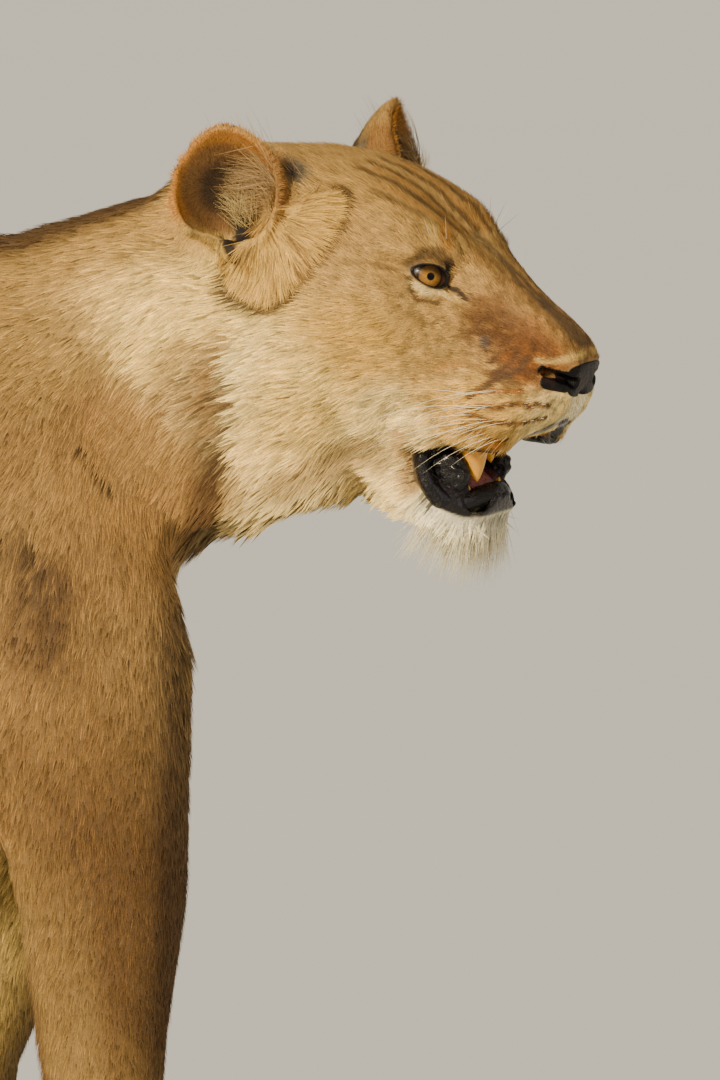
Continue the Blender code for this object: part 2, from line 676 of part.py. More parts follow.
def part_into_nodes(body):
    """Takes the head, jaw, neck and the blocks off in turn. What is left is the chest."""
    head_frame = head_matrix()
    behind_ears = Matrix.Translation((0.150, -0.030, 0.936)) @ Matrix.Rotation(math.radians(-10), 4, "Z")
    shoulders = Matrix.Translation((0.118, 0.0, 0.660)) @ Matrix.Rotation(math.radians(-26), 4, "Y")
    nodes = {"neck": part_off(body, "neck", *NECK_BLOCK, shoulders)}
    nodes["head"] = part_off(nodes["neck"], "head", *HEAD_BLOCK, behind_ears)
    nodes["lower_jaw"] = part_off(nodes["head"], "lower_jaw", *JAW_BLOCK, head_frame)
    for name, low, high in BLOCKS:
        nodes[name] = part_off(body, name, low, high)
    body.name = "chest"
    nodes["chest"] = body
    return nodes


def merge_flats(obj):
    """Makes one face of neighbours that lie in one plane, such as those of a cut."""
    flat = obj.modifiers.new("Flat", "DECIMATE")
    flat.decimate_type = "DISSOLVE"
    flat.angle_limit = math.radians(0.2)
    return bake(obj)


def centre_on_floor():
    """Moves everything so that the origin is on the floor under the middle of the whole."""
    solids = list(LIONESS.objects)
    points = np.vstack([points_of(obj) for obj in solids])
    low, high = points.min(0), points.max(0)
    shift = Matrix.Translation((-(low[0] + high[0]) / 2, -(low[1] + high[1]) / 2, -low[2]))
    for obj in solids:
        obj.data.transform(shift)


def main():
    body = fused_body()
    thin_out(body, BODY_TRIANGLES)
    mouth_and_tongue(body)
    carve(body, box("floor", (-2, -1, -0.5), (1, 1, 0)))
    inset(body, "nose", NOSE_AT, NOSE_SIZE, "nose leather")
    for name in EARS:
        ear(name, body)
    eye("eye_right", -1, body)
    eye("eye_left", 1, body)
    nodes = part_into_nodes(body)
    set_teeth(nodes["head"], UPPER_TEETH)
    set_teeth(nodes["lower_jaw"], LOWER_TEETH)
    for obj in nodes.values():
        merge_flats(obj)
    centre_on_floor()


if __name__ == "__main__":
    main()
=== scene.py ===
"""Looks of the life-size lioness: one skin over the body, a coat of fine tufts that lies as a lion's does,
eyes, nose leather, mouth, teeth, claws and whiskers, and a plain pale studio.

Metres, +Z up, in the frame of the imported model. Body places are measured from a point on the floor under the
shoulders, head places from the middle of the skull between the ears: forward, left, up.
"""

import functools
import itertools
import json
import math

import bmesh
import bpy
import numpy as np
from mathutils import Euler, Matrix, Vector
from mathutils.bvhtree import BVHTree
from mathutils.kdtree import KDTree

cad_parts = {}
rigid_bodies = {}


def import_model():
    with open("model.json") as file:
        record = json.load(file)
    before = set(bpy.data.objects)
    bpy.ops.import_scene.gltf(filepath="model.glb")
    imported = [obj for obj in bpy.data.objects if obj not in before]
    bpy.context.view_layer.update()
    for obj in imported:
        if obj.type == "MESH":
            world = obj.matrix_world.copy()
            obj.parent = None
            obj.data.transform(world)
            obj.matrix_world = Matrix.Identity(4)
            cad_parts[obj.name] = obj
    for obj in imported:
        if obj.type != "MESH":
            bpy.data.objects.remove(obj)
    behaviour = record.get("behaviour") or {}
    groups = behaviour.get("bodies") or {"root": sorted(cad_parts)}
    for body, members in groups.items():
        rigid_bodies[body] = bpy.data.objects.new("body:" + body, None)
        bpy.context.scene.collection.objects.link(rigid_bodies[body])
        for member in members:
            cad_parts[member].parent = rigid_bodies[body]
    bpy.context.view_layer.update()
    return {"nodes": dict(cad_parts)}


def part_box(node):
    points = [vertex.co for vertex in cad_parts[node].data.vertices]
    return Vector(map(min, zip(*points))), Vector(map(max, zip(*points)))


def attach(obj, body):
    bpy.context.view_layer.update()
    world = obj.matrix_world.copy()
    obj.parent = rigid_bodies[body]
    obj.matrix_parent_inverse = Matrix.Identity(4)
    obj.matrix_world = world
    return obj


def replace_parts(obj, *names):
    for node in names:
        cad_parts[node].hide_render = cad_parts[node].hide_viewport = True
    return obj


for startup_object in list(bpy.data.objects):
    bpy.data.objects.remove(startup_object)
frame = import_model()

# ---------------------------------------------------------------- driving dimensions
HEAD_TURN = np.array(Euler([math.radians(a) for a in (4.0, 20.0, -27.0)]).to_matrix())
EYES_IN_HEAD = np.array((0.1384, 0.0, 0.0094))    # midway between the eyeballs, in head axes
HEAD_TO_SHOULDERS = 0.208                         # the skull's middle is this far ahead of the body's origin
EYE_RADIUS, IRIS_RADIUS, CORNEA_RISE = 0.0175, 0.009, 0.0011
SKIN_CELL = 0.003                                 # cell of the skin's first mesh
SKIN_TRIANGLES = 104000                           # before the face is refined
STRIDES = {"front": -0.115, "hind": 0.17}         # how far the left feet stand from the right ones
SHIFT_TOP, SHIFT_LOW = 0.75, 0.35                 # heights between which a stride fades in
COAT_TRIANGLES = 1380000
PRESSED = 0.62                                    # share of its depth that the coat keeps where it lies flat
TUFT_PATCH = 0.0015                               # half a tuft's patch on the unwrap
LONG_TUFT = 0.0145                                # tufts longer than this bend
MOST_TRIANGLES = 190000                           # in one piece of the coat
NECK_REACH = 0.22                                 # marks of the body reach this far ahead of its origin
TAIL_FREE = (-1.02, -1.06)                        # from here backward there is only tail
REGIONS = ("head", "neck", "trunk", "foreleg_right", "foreleg_left", "hindquarters", "tail")
PAW_WIDTHS = {"forepaw_right": 0.118, "forepaw_left": 0.118, "hindpaw_right": 0.102, "hindpaw_left": 0.102}
TOES = (-0.36, -0.13, 0.13, 0.36)                 # across the paw, in shares of its width
CAMERA_ELEVATION, CAMERA_DISTANCE = math.radians(4.5), 10.0
FRAME_HEIGHT = 0.81                               # metres the picture shows at the target
SENSOR = 36.0


def middle(node):
    low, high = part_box(node)
    return np.array((low + high) / 2)


def metres(sizes):
    """Millimetres, alone or in nested rows, in metres."""
    return tuple(map(metres, sizes)) if isinstance(sizes, tuple) else round(sizes / 1000, 6)


def marks(rows):
    """Rows that start with a path and a half width in millimetres."""
    return [(metres(path), metres(width), *rest) for path, width, *rest in rows]


EYE_CENTRES = {side: middle("eye_" + name) for side, name in ((-1, "right"), (1, "left"))}
HEAD_ORIGIN = (EYE_CENTRES[-1] + EYE_CENTRES[1]) / 2 - HEAD_TURN @ EYES_IN_HEAD
BODY_ORIGIN = np.array((HEAD_ORIGIN[0] - HEAD_TO_SHOULDERS, 0.0, 0.0))
CAMERA_TARGET = Vector((BODY_ORIGIN[0] + 0.2575, 0.0, 0.688))

# ---------------------------------------------------------------- colours
TAWNY = (0.45, 0.268, 0.08)
GOLD = (0.66, 0.395, 0.095)
PALE = (0.86, 0.6, 0.18)
CREAM = (0.97, 0.74, 0.3)
WHITE = (0.98, 0.88, 0.6)
SHOULDER_BROWN = (0.33, 0.18, 0.056)
LEG_BROWN = (0.185, 0.095, 0.031)
RUST = (0.33, 0.105, 0.012)
DARK_BROWN = (0.085, 0.045, 0.02)
BLACK = (0.012, 0.009, 0.008)
# painted shade of the hair behind the ear
BEHIND_EAR_SHADE = (0.11, 0.098, 0.075)
ORANGE_FUR = (0.42, 0.19, 0.038)
RUST_BROWN = (0.175, 0.07, 0.018)
CREST_BROWN = (0.09, 0.06, 0.036)
TAIL_DARK = (0.06, 0.036, 0.022)
EAR_HAIR = np.array((0.86, 0.6, 0.27))
EAR_EDGE, EAR_ORANGE, EAR_FRONT = (0.62, 0.36, 0.11), (0.5, 0.215, 0.04), (0.33, 0.15, 0.038)
# The cup and hollow colours are painted shade, darker towards the hollow of each ear.
EAR_CUP_SHADE, EAR_HOLLOW_SHADE, EAR_BACK = (0.21, 0.105, 0.034), (0.055, 0.032, 0.016), (0.03, 0.022, 0.016)
FAN_GOLD, FAN_STREAK, FAN_RUST = (0.66, 0.395, 0.09), (0.22, 0.105, 0.034), (0.3, 0.14, 0.045)
# The fringe colour is the fan's dark hair tips together with painted shadow that the fan casts beyond them.
FAN_FRINGE_SHADOW, BLOTCH = (0.075, 0.04, 0.018), (0.105, 0.045, 0.014)
# The last colour, of the bare lids, is also the painted shade in the gaps at the foot of the right ear.
LINING, GUM, LEATHER, LID_AND_GAP_SHADE = (0.011, 0.008, 0.008), (0.16, 0.055, 0.07), (0.02, 0.013, 0.011), (0.01, 0.007, 0.006)

# The coat at places of the head, on its left half: place, way the hair lies, length, lift in degrees, depth of the
# coat and colour, with lengths in millimetres. Between the places it blends.
HEAD_COAT = (
    ((245, 8, 4), (-1, 0, 0.35), 4, 8, 0.8, SHOULDER_BROWN),  # nose bridge front
    ((200, 12, 22), (-1, 0, 0.45), 5, 8, 1.5, SHOULDER_BROWN),  # nose bridge
    ((165, 12, 38), (-1, 0, 0.5), 6, 10, 2.5, TAWNY),  # between the eyes
    ((110, 20, 62), (-1, 0, 0.2), 8, 10, 3.5, TAWNY),  # forehead
    ((40, 20, 66), (-1, 0, 0), 9, 12, 4.5, TAWNY),  # crown
    ((50, 60, 55), (-1, 0.1, 0), 9, 12, 4.5, TAWNY),  # crown side
    ((145, 36, 45), (-0.8, 0.3, 0.6), 8, 20, 2.5, TAWNY),  # brow
    ((90, 78, 30), (-1, 0.1, 0.1), 8, 9, 3.5, TAWNY),  # temple
    ((122, 70, 12), (-1, 0.2, -0.1), 6, 8, 2, TAWNY),  # outer corner of the eye
    ((150, 62, -10), (-0.9, 0.2, -0.5), 5, 8, 2, TAWNY),  # under the eye
    ((200, 48, -10), (-1, 0.2, -0.15), 5, 8, 1.5, SHOULDER_BROWN),  # muzzle side
    ((180, 58, -40), (-1, 0.2, -0.25), 6, 8, 2, TAWNY),  # muzzle root
    ((240, 36, -15), (-1, 0.2, -0.1), 4, 8, 0.8, RUST),  # beside the nose
    ((228, 60, -55), (-0.95, 0.1, -0.35), 6, 9, 1.5, GOLD),  # whisker pad
    ((200, 64, -65), (-0.95, 0.1, -0.45), 7, 10, 1.8, GOLD),  # whisker pad back
    ((258, 22, -58), (-0.35, 0.5, -0.8), 4, 10, 0.8, CREAM),  # front of the upper lip
    ((222, 56, -88), (-0.75, 0, -0.65), 8, 16, 1.8, GOLD),  # edge of the upper lip
    ((130, 90, -40), (-1, 0.15, -0.35), 9, 9, 3.5, GOLD),  # cheek
    ((162, 72, -100), (-0.85, 0.1, -0.5), 10, 14, 3, CREAM),  # mouth corner
    ((100, 92, -95), (-0.85, 0.1, -0.55), 15, 12, 6, PALE),  # jowl
    ((30, 100, -105), (-0.75, 0.1, -0.7), 20, 13, 8, CREAM),  # ruff
    ((10, 105, -55), (-0.7, 0.1, -0.7), 15, 12, 6, PALE),  # below the ear
    ((-45, 85, 0), (-1, 0, -0.3), 14, 12, 7, TAWNY),  # behind the ear
    ((-60, 20, 30), (-1, 0, -0.1), 14, 12, 7, TAWNY),  # nape
    ((80, 30, -158), (-0.7, 0, -0.7), 20, 16, 9, CREAM),  # throat
    ((165, 56, -138), (-0.75, 0, -0.7), 12, 13, 4.5, CREAM),  # jaw side
    ((150, 20, -166), (-0.5, 0, -0.85), 20, 20, 10, CREAM),  # jaw underside
    ((205, 44, -165), (-0.3, 0.1, -1), 16, 14, 3.5, WHITE),  # chin side
    ((210, 15, -185), (-0.15, 0.05, -1), 27, 24, 11, WHITE),  # chin
    ((236, 12, -160), (0.15, 0.05, -1), 20, 22, 6, WHITE),  # chin front
)
# The same for the body, from the body's origin.
BODY_COAT = (
    ((100, 30, 940), (-1, 0, -0.25), 15, 11, 7, TAWNY),  # neck top
    ((-50, 30, 915), (-1, 0, -0.1), 15, 11, 7, TAWNY),  # withers
    ((120, 110, 850), (-0.85, 0, -0.5), 15, 9, 7, PALE),  # neck side
    ((20, 115, 840), (-0.75, 0, -0.65), 14, 9, 6.5, TAWNY),  # neck root
    ((72, 122, 788), (-0.5, 0, -0.85), 14, 9, 6, SHOULDER_BROWN),  # before the shoulder
    ((125, 90, 735), (-0.5, 0, -0.85), 17, 11, 8, SHOULDER_BROWN),  # neck side low
    ((180, 40, 705), (-0.5, 0, -0.85), 22, 15, 9, CREAM),  # neck front
    ((115, 40, 600), (-0.1, 0, -1), 18, 12, 8, TAWNY),  # chest front
    ((50, 10, 490), (-0.5, 0, -0.85), 20, 14, 8, PALE),  # between the forelegs
    ((-30, 145, 790), (-0.6, 0, -0.8), 13, 8, 5.5, SHOULDER_BROWN),  # shoulder
    ((-60, 100, 870), (-0.85, 0, -0.5), 13, 8, 6, TAWNY),  # shoulder top
    ((80, 135, 700), (-0.3, 0, -1), 13, 9, 5.5, SHOULDER_BROWN),  # shoulder front
    ((20, 172, 600), (-0.25, 0, -1), 12, 8, 5, SHOULDER_BROWN),  # upper arm
    ((-70, 150, 510), (-0.4, 0, -0.9), 17, 13, 5.5, SHOULDER_BROWN),  # elbow
    ((90, 165, 480), (-0.1, 0, -1), 11, 8, 4, LEG_BROWN),  # foreleg above
    ((60, 155, 340), (-0.15, 0, -1), 9, 8, 3.2, LEG_BROWN),  # forearm
    ((12, 115, 330), (-0.4, 0, -1), 13, 13, 3.6, LEG_BROWN),  # forearm back
    ((115, 115, 340), (0, 0, -1), 9, 8, 3.2, LEG_BROWN),  # forearm front
    ((60, 75, 340), (-0.1, 0, -1), 9, 8, 3.2, PALE),  # forearm inside
    ((70, 120, 160), (0, 0, -1), 8, 8, 2.8, TAWNY),  # wrist
    ((110, 120, 50), (1, 0, -0.5), 5, 8, 1.8, PALE),  # forepaw
    ((-300, 155, 700), (-1, 0, -0.3), 13, 8, 6, TAWNY),  # ribs
    ((-300, 130, 560), (-1, 0, -0.3), 15, 10, 6.5, PALE),  # low ribs
    ((-350, 30, 880), (-1, 0, 0), 14, 9, 7, TAWNY),  # back
    ((-620, 30, 890), (-1, 0, 0), 14, 9, 7, TAWNY),  # loins
    ((-400, 20, 490), (-1, 0, -0.2), 22, 15, 8, CREAM),  # belly
    ((-620, 125, 660), (-0.8, 0, -0.5), 16, 10, 6.5, TAWNY),  # flank
    ((-680, 90, 560), (-0.6, 0, -0.8), 20, 14, 7, PALE),  # flank fold
    ((-820, 135, 770), (-0.6, 0, -0.7), 13, 8, 5.5, TAWNY),  # haunch
    ((-940, 50, 845), (-0.8, 0, -0.5), 13, 9, 6, TAWNY),  # rump
    ((-830, 172, 620), (-0.3, 0, -1), 12, 8, 5, TAWNY),  # thigh
    ((-720, 120, 560), (-0.4, 0, -1), 13, 9, 5, PALE),  # thigh front
    ((-985, 120, 600), (-0.3, 0, -1), 16, 13, 5.5, PALE),  # thigh back
    ((-850, 60, 560), (-0.2, 0, -1), 13, 9, 5, CREAM),  # thigh inside
    ((-850, 150, 440), (-0.5, 0, -1), 11, 8, 4, TAWNY),  # shank
    ((-960, 112, 290), (-0.1, 0, -1), 9, 8, 3.2, TAWNY),  # hock
    ((-950, 112, 160), (0.1, 0, -1), 8, 8, 2.8, PALE),  # hind foot
    ((-900, 112, 50), (1, 0, -0.5), 5, 8, 1.8, PALE),  # hindpaw
    ((-1015, 20, 780), (-0.8, 0, -0.6), 12, 9, 5.5, TAWNY),  # tail root
    ((-1075, 15, 690), (-0.3, 0, -1), 10, 8, 5, TAWNY),  # tail top
    ((-1108, 15, 550), (-0.1, 0, -1), 9, 8, 4.5, TAWNY),  # tail middle
)
# The middle line of the tail, from the body's origin.
TAIL = metres((
    (-930, 0, 815), (-1020, 0, 785), (-1078, -5, 690), (-1108, -12, 550), (-1122, -20, 410),
    (-1158, -30, 300), (-1228, -38, 235), (-1320, -45, 222), (-1400, -50, 240),
))
TUFT_FROM = 0.215          # the tail's dark tuft takes this share of its length
# Each ear in head axes: middle of the rim in metres, way it faces, way its tip points.
EAR_SIZE = (0.044, 0.047)
EARS = {
    "ear_right": ((-0.008, -0.113, 0.03), (0.4, -0.87, 0.25), (-0.25, -0.3, 0.92)),
    "ear_left": ((0.04, 0.1, 0.045), (0.85, 0.3, 0.38), (-0.34, 0.15, 0.92)),
}
# Gaps at the foot of the right ear, seen from its side, painted dark as shade: start, end, half width.
SHADED_EAR_GAPS = metres((((3, 0, 5), (6.5, 0, -7), 6), ((-5, 0, 4), (14, 0, -19), 5.6)))
# The opening of an eye: its corners from the eyeball's middle, forward, outward, up.
OUTER_CORNER, INNER_CORNER = np.array((-0.0023, 0.0171, 0.0058)), np.array((0.0196, -0.0022, 0.0036))
LID_RISE, LID_DROP = 0.0068, 0.008
LID_THICKNESS = 0.0014
GAZE = np.array((0.605, 0.72, 0.3))       # forward, outward, up
# The mouth from its corner forward: place, upper edge and lower edge of what is bare.
MOUTH_EDGES = metres((
    (168, -115, -116), (175, -114, -128), (182, -110, -137), (192, -105, -145), (205, -98, -152),
    (220, -94.5, -153), (232, -92, -150), (242, -90, -146),
))
# The edge of the upper lip that hangs over the roots of the canines, in head axes.
LIP_EDGE = metres(((212, 54, -96), (228, 50, -92), (241, 41, -88)))
FAN_ROOT = (0.0195, 0.02)                   # the fan of fur ahead of the ear spreads from here: forward, up
FAN_REACH = (
    (-128, 0.03), (-112, 0.046), (-95, 0.058), (-75, 0.061), (-62, 0.065), (-38, 0.059), (-19, 0.053), (10, 0.055),
    (27, 0.054), (38, 0.045),
)
# Teeth by the jaw that holds them, as the solids carry them: root, tip, radius at the gum.
CAST_TEETH = {
    "head": metres((
        ((214, 31, -84), (225, 28, -120), 10.5),
        ((234, 16, -72), (236, 15, -84), 4.2),
        ((239, 8.5, -72), (241, 8, -83), 3.8),
    )),
    "lower_jaw": metres((((217, 20, -154), (225, 23, -122), 6.5),)),
}
# The same teeth as they look, drawn a little closer together.
TEETH = {
    "upper": metres((
        ((202.5, 20, -98.5), (217, 22.5, -127.5), 12.4),
        ((232, 15, -72), (233, 14, -82), 4.2),
        ((237, 7.5, -72), (238, 7, -81), 3.8),
    )),
    "lower": metres((((212.3, 22, -148), (212.3, 24.5, -132), 5.5),)),
}
FAR_CANINE = np.array((-0.013, -0.002, 0.004))     # the left upper canine stands a little further back


# ---------------------------------------------------------------- measures over the body
def step(values, low, high):
    """0 below low, 1 above high and smooth between; the other way round if low is above high."""
    share = np.clip((values - low) / (high - low), 0, 1)
    return share * share * (3 - 2 * share)


def unit(vectors):
    return vectors / np.maximum(np.linalg.norm(vectors, axis=-1, keepdims=True), 1e-12)


def in_head(points):
    """Head axes of points in the frame: forward, left, up."""
    return (points - HEAD_ORIGIN) @ HEAD_TURN


def from_head(points):
    """From head axes to the frame."""
    return np.asarray(points, float) @ HEAD_TURN.T + HEAD_ORIGIN


def half_head(points):
    """Head axes with both halves folded onto the left one."""
    place = in_head(points)
    place[:, 1] = np.abs(place[:, 1])
    return place


def to_line(points, start, end):
    """Distance to a straight line between two places, and the share of the way along it."""
    start, way = np.array(start, float), np.array(end, float) - np.array(start, float)
    share = np.clip((points - start) @ way / (way @ way), 0, 1)
    return np.linalg.norm(points - start - share[:, None] * way, axis=1), share


def to_path(points, path):
    """Distance to a line through several places, and the share of the way along it."""
    found, shares = np.full(len(points), 9.0), np.zeros(len(points))
    for index in range(len(path) - 1):
        distance, share = to_line(points, path[index], path[index + 1])
        nearer = distance < found
        found[nearer], shares[nearer] = distance[nearer], (index + share[nearer]) / (len(path) - 1)
    return found, shares


FACE_LINES = {}     # paths on the face, drawn onto the skin


def evenly(path, gap):
    """The path with places at even gaps along it."""
    path = np.array(path, float)
    way = np.concatenate([[0], np.cumsum(np.linalg.norm(np.diff(path, axis=0), axis=1))])
    spots = np.linspace(0, way[-1], max(2, int(way[-1] / gap) + 1))
    return np.stack([np.interp(spots, way, column) for column in path.T], 1)


def draw_face_lines(points, paths):
    """Lays paths in head axes onto the right half of the skin, which stands for both."""
    place = in_head(points) * (1, -1, 1)
    face = place[(place[:, 0] > -0.02) & (place[:, 1] > -0.003)]
    tree = KDTree(len(face))
    for index, spot in enumerate(face):
        tree.insert(spot, index)
    tree.balance()
    for path in paths:
        FACE_LINES[path] = np.array([tree.find(spot)[0] for spot in evenly(path, 0.005)])


def near_path(points, path, reach):
    """to_path for the points within reach of the path's box; 9 for the others."""
    close = np.flatnonzero(((points > path.min(0) - reach) & (points < path.max(0) + reach)).all(1))
    found, shares = np.full(len(points), 9.0), np.zeros(len(points))
    found[close], shares[close] = to_path(points[close], path)
    return found, shares


def mottling(points, size, seed=0.0):
    """Soft chance values from 0 to 1 that change over the given size."""
    place = points / size + 31.7 * (seed + 1)
    cell = np.floor(place)
    part = place - cell
    part = part * part * (3 - 2 * part)
    total = np.zeros(len(points))
    for corner in itertools.product((0, 1), repeat=3):
        weight = np.prod(np.where(np.array(corner) == 1, part, 1 - part), axis=1)
        number = np.sin((cell + corner) @ np.array((127.1, 311.7, 74.7))) * 43758.5453
        total += weight * (number - np.floor(number))
    return total


def mixed(values, other, share):
    """The values drawn towards others by a share at each place."""
    share = np.clip(share, 0, 1)
    return values + (np.array(other) - values) * (share[:, None] if values.ndim > 1 else share)


def layered(colours, *layers):
    """Mixes other colours in, one after another, each by its share."""
    for other, share in layers:
        colours = mixed(colours, other, share)
    return colours


def stride_share(height):
    return float(step(np.array(height), SHIFT_TOP, SHIFT_LOW))


def all_guides():
    """The coat's guides on both halves of the body: places, ways, lengths, lifts, depths, colours."""
    rows = []
    for place, way, *rest in HEAD_COAT:
        for side in (1, -1):
            spot, lie = (HEAD_TURN @ (np.array(row, float) * (1, side, 1)) for row in (metres(place), way))
            rows.append((spot + HEAD_ORIGIN, unit(lie), *rest))
    for place, way, *rest in BODY_COAT:
        x, y, z = metres(place)
        for side in (1, -1):
            stride = STRIDES["front" if x > -0.5 else "hind"] * stride_share(z) if side > 0 else 0
            spot = np.array((x + stride, y * side, z)) + BODY_ORIGIN
            rows.append((spot, unit(np.array(way, float) * (1, side, 1)), *rest))
    for start, end in zip(TAIL[3:-1], TAIL[4:]):
        start, end = np.array(start), np.array(end)
        rows.append(((start + end) / 2 + BODY_ORIGIN, unit(end - start), 9, 8, 4.0, TAWNY))
    return [np.array(column, float) for column in zip(*rows)]


GUIDES = all_guides()


def coat_at(points):
    """Way of the hair, its length, lift and depth in metres and degrees, and colour, blended from the guides."""
    places, ways, lengths, lifts, depths, colours = GUIDES
    table = np.column_stack([ways, lengths / 1000, lifts, depths / 1000, colours])
    parts = []
    for block in np.array_split(points, max(1, len(points) // 20000)):
        gaps = ((block[:, None] - places[None]) ** 2).sum(2) + 0.012**2
        weights = gaps**-2.5
        parts.append(weights @ table / weights.sum(1, keepdims=True))
    found = np.concatenate(parts)
    return found[:, :3], found[:, 3], found[:, 4], found[:, 5], found[:, 6:9]


def tail_shares(points):
    """1 on the free tail, and the share of the way along it."""
    place = points - BODY_ORIGIN
    return step(place[:, 0], *TAIL_FREE), to_path(place, TAIL)[1]


def eye_axes(side):
    """Axes of an eye's opening in the frame: towards the inner corner, up, outward from the eyeball."""
    flip = np.array((1, side, 1))
    outer, inner = unit(OUTER_CORNER) * flip, unit(INNER_CORNER) * flip
    out = unit(outer + inner)
    inward = unit((inner - outer) - out * ((inner - outer) @ out))
    up = np.cross(out, inward)
    up = up * np.sign(up[2])
    half = EYE_RADIUS * math.sin(math.acos(outer @ inner) / 2)
    return [HEAD_TURN @ axis for axis in (inward, up, out)], half


def lid_measure(points, side):
    """1 at the edge of the lids, less inside the opening; and 9 away from the eye."""
    (inward, up, out), half = eye_axes(side)
    from_middle = points - EYE_CENTRES[side]
    distance = np.linalg.norm(from_middle, axis=1)
    onto = from_middle / np.maximum(distance, 1e-9)[:, None] * EYE_RADIUS
    across, rise = onto @ inward, onto @ up
    height = np.where(rise > 0, LID_RISE, LID_DROP) * (1 + 0.1 * across / half)
    measure = (np.abs(across / half) ** 2.1 + np.abs(rise / height) ** 1.9) ** 0.5
    return np.where((onto @ out > 0) & (distance < 0.045), measure, 9.0)


def around_eyes(points):
    return np.minimum(lid_measure(points, 1), lid_measure(points, -1))


def mouth_share(points):
    """1 on what is bare in and around the mouth."""
    place = half_head(points)
    ahead, aside, up = place.T
    places, high, low = (np.array(column) for column in zip(*MOUTH_EDGES))
    top, bottom = np.interp(ahead, places, high), np.interp(ahead, places, low)
    open_side = step(up, top + 0.001, top - 0.0015) * step(up, bottom - 0.001, bottom + 0.0015)
    side = open_side * step(ahead, 0.172, 0.176) * step(ahead, 0.262, 0.255) * step(aside, 0.075, 0.07)
    front_edge, _ = to_path(place, metres(((262, 2, -67), (252, 20, -75), (240, 34, -84))))
    return np.maximum(side, step(front_edge, 0.0068, 0.0052))


def nostril_share(points):
    distance, share = to_path(half_head(points), metres(((264, 16, -29), (259, 25, -27), (249, 35, -24.5))))
    return step(distance, 0.0064 - 0.0026 * share, 0.0036 - 0.0018 * share)


def leather_share(points):
    """1 on the bare leather of the nose."""
    place = half_head(points)
    ahead, aside, up = place.T
    pad = (np.abs(aside / 0.0235) ** 3 + np.abs((up + 0.0275) / 0.0135) ** 3) ** (1 / 3)
    front = step(pad, 1.04, 0.96) * step(ahead, 0.2525, 0.2555)
    wing, share = to_line(place, (0.262, 0.02, -0.027), (0.2475, 0.0355, -0.024))
    under, _ = to_line(place, (0.262, 0.023, -0.032), (0.254, 0.035, -0.031))
    cleft, _ = to_line(place, (0.273, 0.0, -0.036), (0.266, 0.0, -0.064))
    wings = np.maximum(step(wing, 0.0072 - 0.003 * share, 0.0058 - 0.003 * share), step(under, 0.006, 0.0048))
    return np.maximum.reduce([front, wings, step(cleft, 0.0016, 0.0009)])


def fan_measure(points):
    """1 at the fringe of the fan of fur ahead of the right ear, less inside it; 9 elsewhere."""
    ahead, left, up = in_head(points).T
    across, rise = ahead - FAN_ROOT[0], up - FAN_ROOT[1]
    angle = np.degrees(np.arctan2(rise, across))
    reach = np.interp(angle, *zip(*FAN_REACH))
    inside = (left < -0.055) & (angle > FAN_REACH[0][0]) & (angle < FAN_REACH[-1][0])
    return np.where(inside, np.hypot(across, rise) / reach, 9.0)


# ---------------------------------------------------------------- meshes in numbers
def read(rows, name, width, kind=np.float32):
    """One property of all vertices, edges, loops or triangles."""
    values = np.empty(len(rows) * width, kind)
    rows.foreach_get(name, values)
    return values.reshape(-1, width)


def places_of(mesh):
    return read(mesh.vertices, "co", 3).astype(float)


def put_places(mesh, points):
    mesh.vertices.foreach_set("co", np.asarray(points, np.float32).ravel())
    mesh.update()


def normals_of(mesh):
    return read(mesh.vertex_normals, "vector", 3).astype(float)


def edges_of(mesh):
    return read(mesh.edges, "vertices", 2, np.int32)


def smooth(mesh):
    mesh.polygons.foreach_set("use_smooth", np.ones(len(mesh.polygons), bool))


def opened(*meshes):
    """A bmesh of one or several meshes."""
    shape = bmesh.new()
    for mesh in meshes:
        shape.from_mesh(mesh)
    shape.verts.ensure_lookup_table()
    return shape


def mesh_of(shape, name):
    """Writes a bmesh into a new mesh and lets go of it."""
    mesh = bpy.data.meshes.new(name)
    shape.to_mesh(mesh)
    shape.free()
    return mesh


def welded(name, solids):
    """One mesh of several, with the places that they share made one."""
    shape = opened(*solids)
    bmesh.ops.remove_doubles(shape, verts=shape.verts, dist=1e-6)
    return mesh_of(shape, name)


def tree_of(mesh):
    """Finds the nearest place of a mesh, or where a ray meets it."""
    return BVHTree.FromPolygons([v.co for v in mesh.vertices], [p.vertices for p in mesh.polygons])


def averaged(values, edges, rounds, share):
    """Values on the vertices, each round drawn by its share towards the mean of its neighbours."""
    start, end = edges.T
    size = len(values)
    count = np.bincount(edges.ravel(), minlength=size)[:, None]
    share = np.broadcast_to(share, size)[:, None]
    for _ in range(rounds):
        total = np.stack([np.bincount(start, column[end], size) + np.bincount(end, column[start], size)
                          for column in values.T], axis=1)
        values = values + share * (total / np.maximum(count, 1) - values)
    return values


def add_object(name, mesh):
    obj = bpy.data.objects.new(name, mesh)
    bpy.context.scene.collection.objects.link(obj)
    return obj


def settle(obj):
    """Applies the modifiers."""
    bpy.context.view_layer.update()
    graph = bpy.context.evaluated_depsgraph_get()
    mesh = bpy.data.meshes.new_from_object(obj.evaluated_get(graph))
    obj.modifiers.clear()
    obj.data = mesh
    return obj


def rounded_off(name, solid):
    """A solid with its facets rounded off."""
    obj = add_object(name, welded(name, [solid]))
    rounded = obj.modifiers.new("Rounded", "SUBSURF")
    rounded.levels = rounded.render_levels = 2
    settle(obj)
    smooth(obj.data)
    return obj


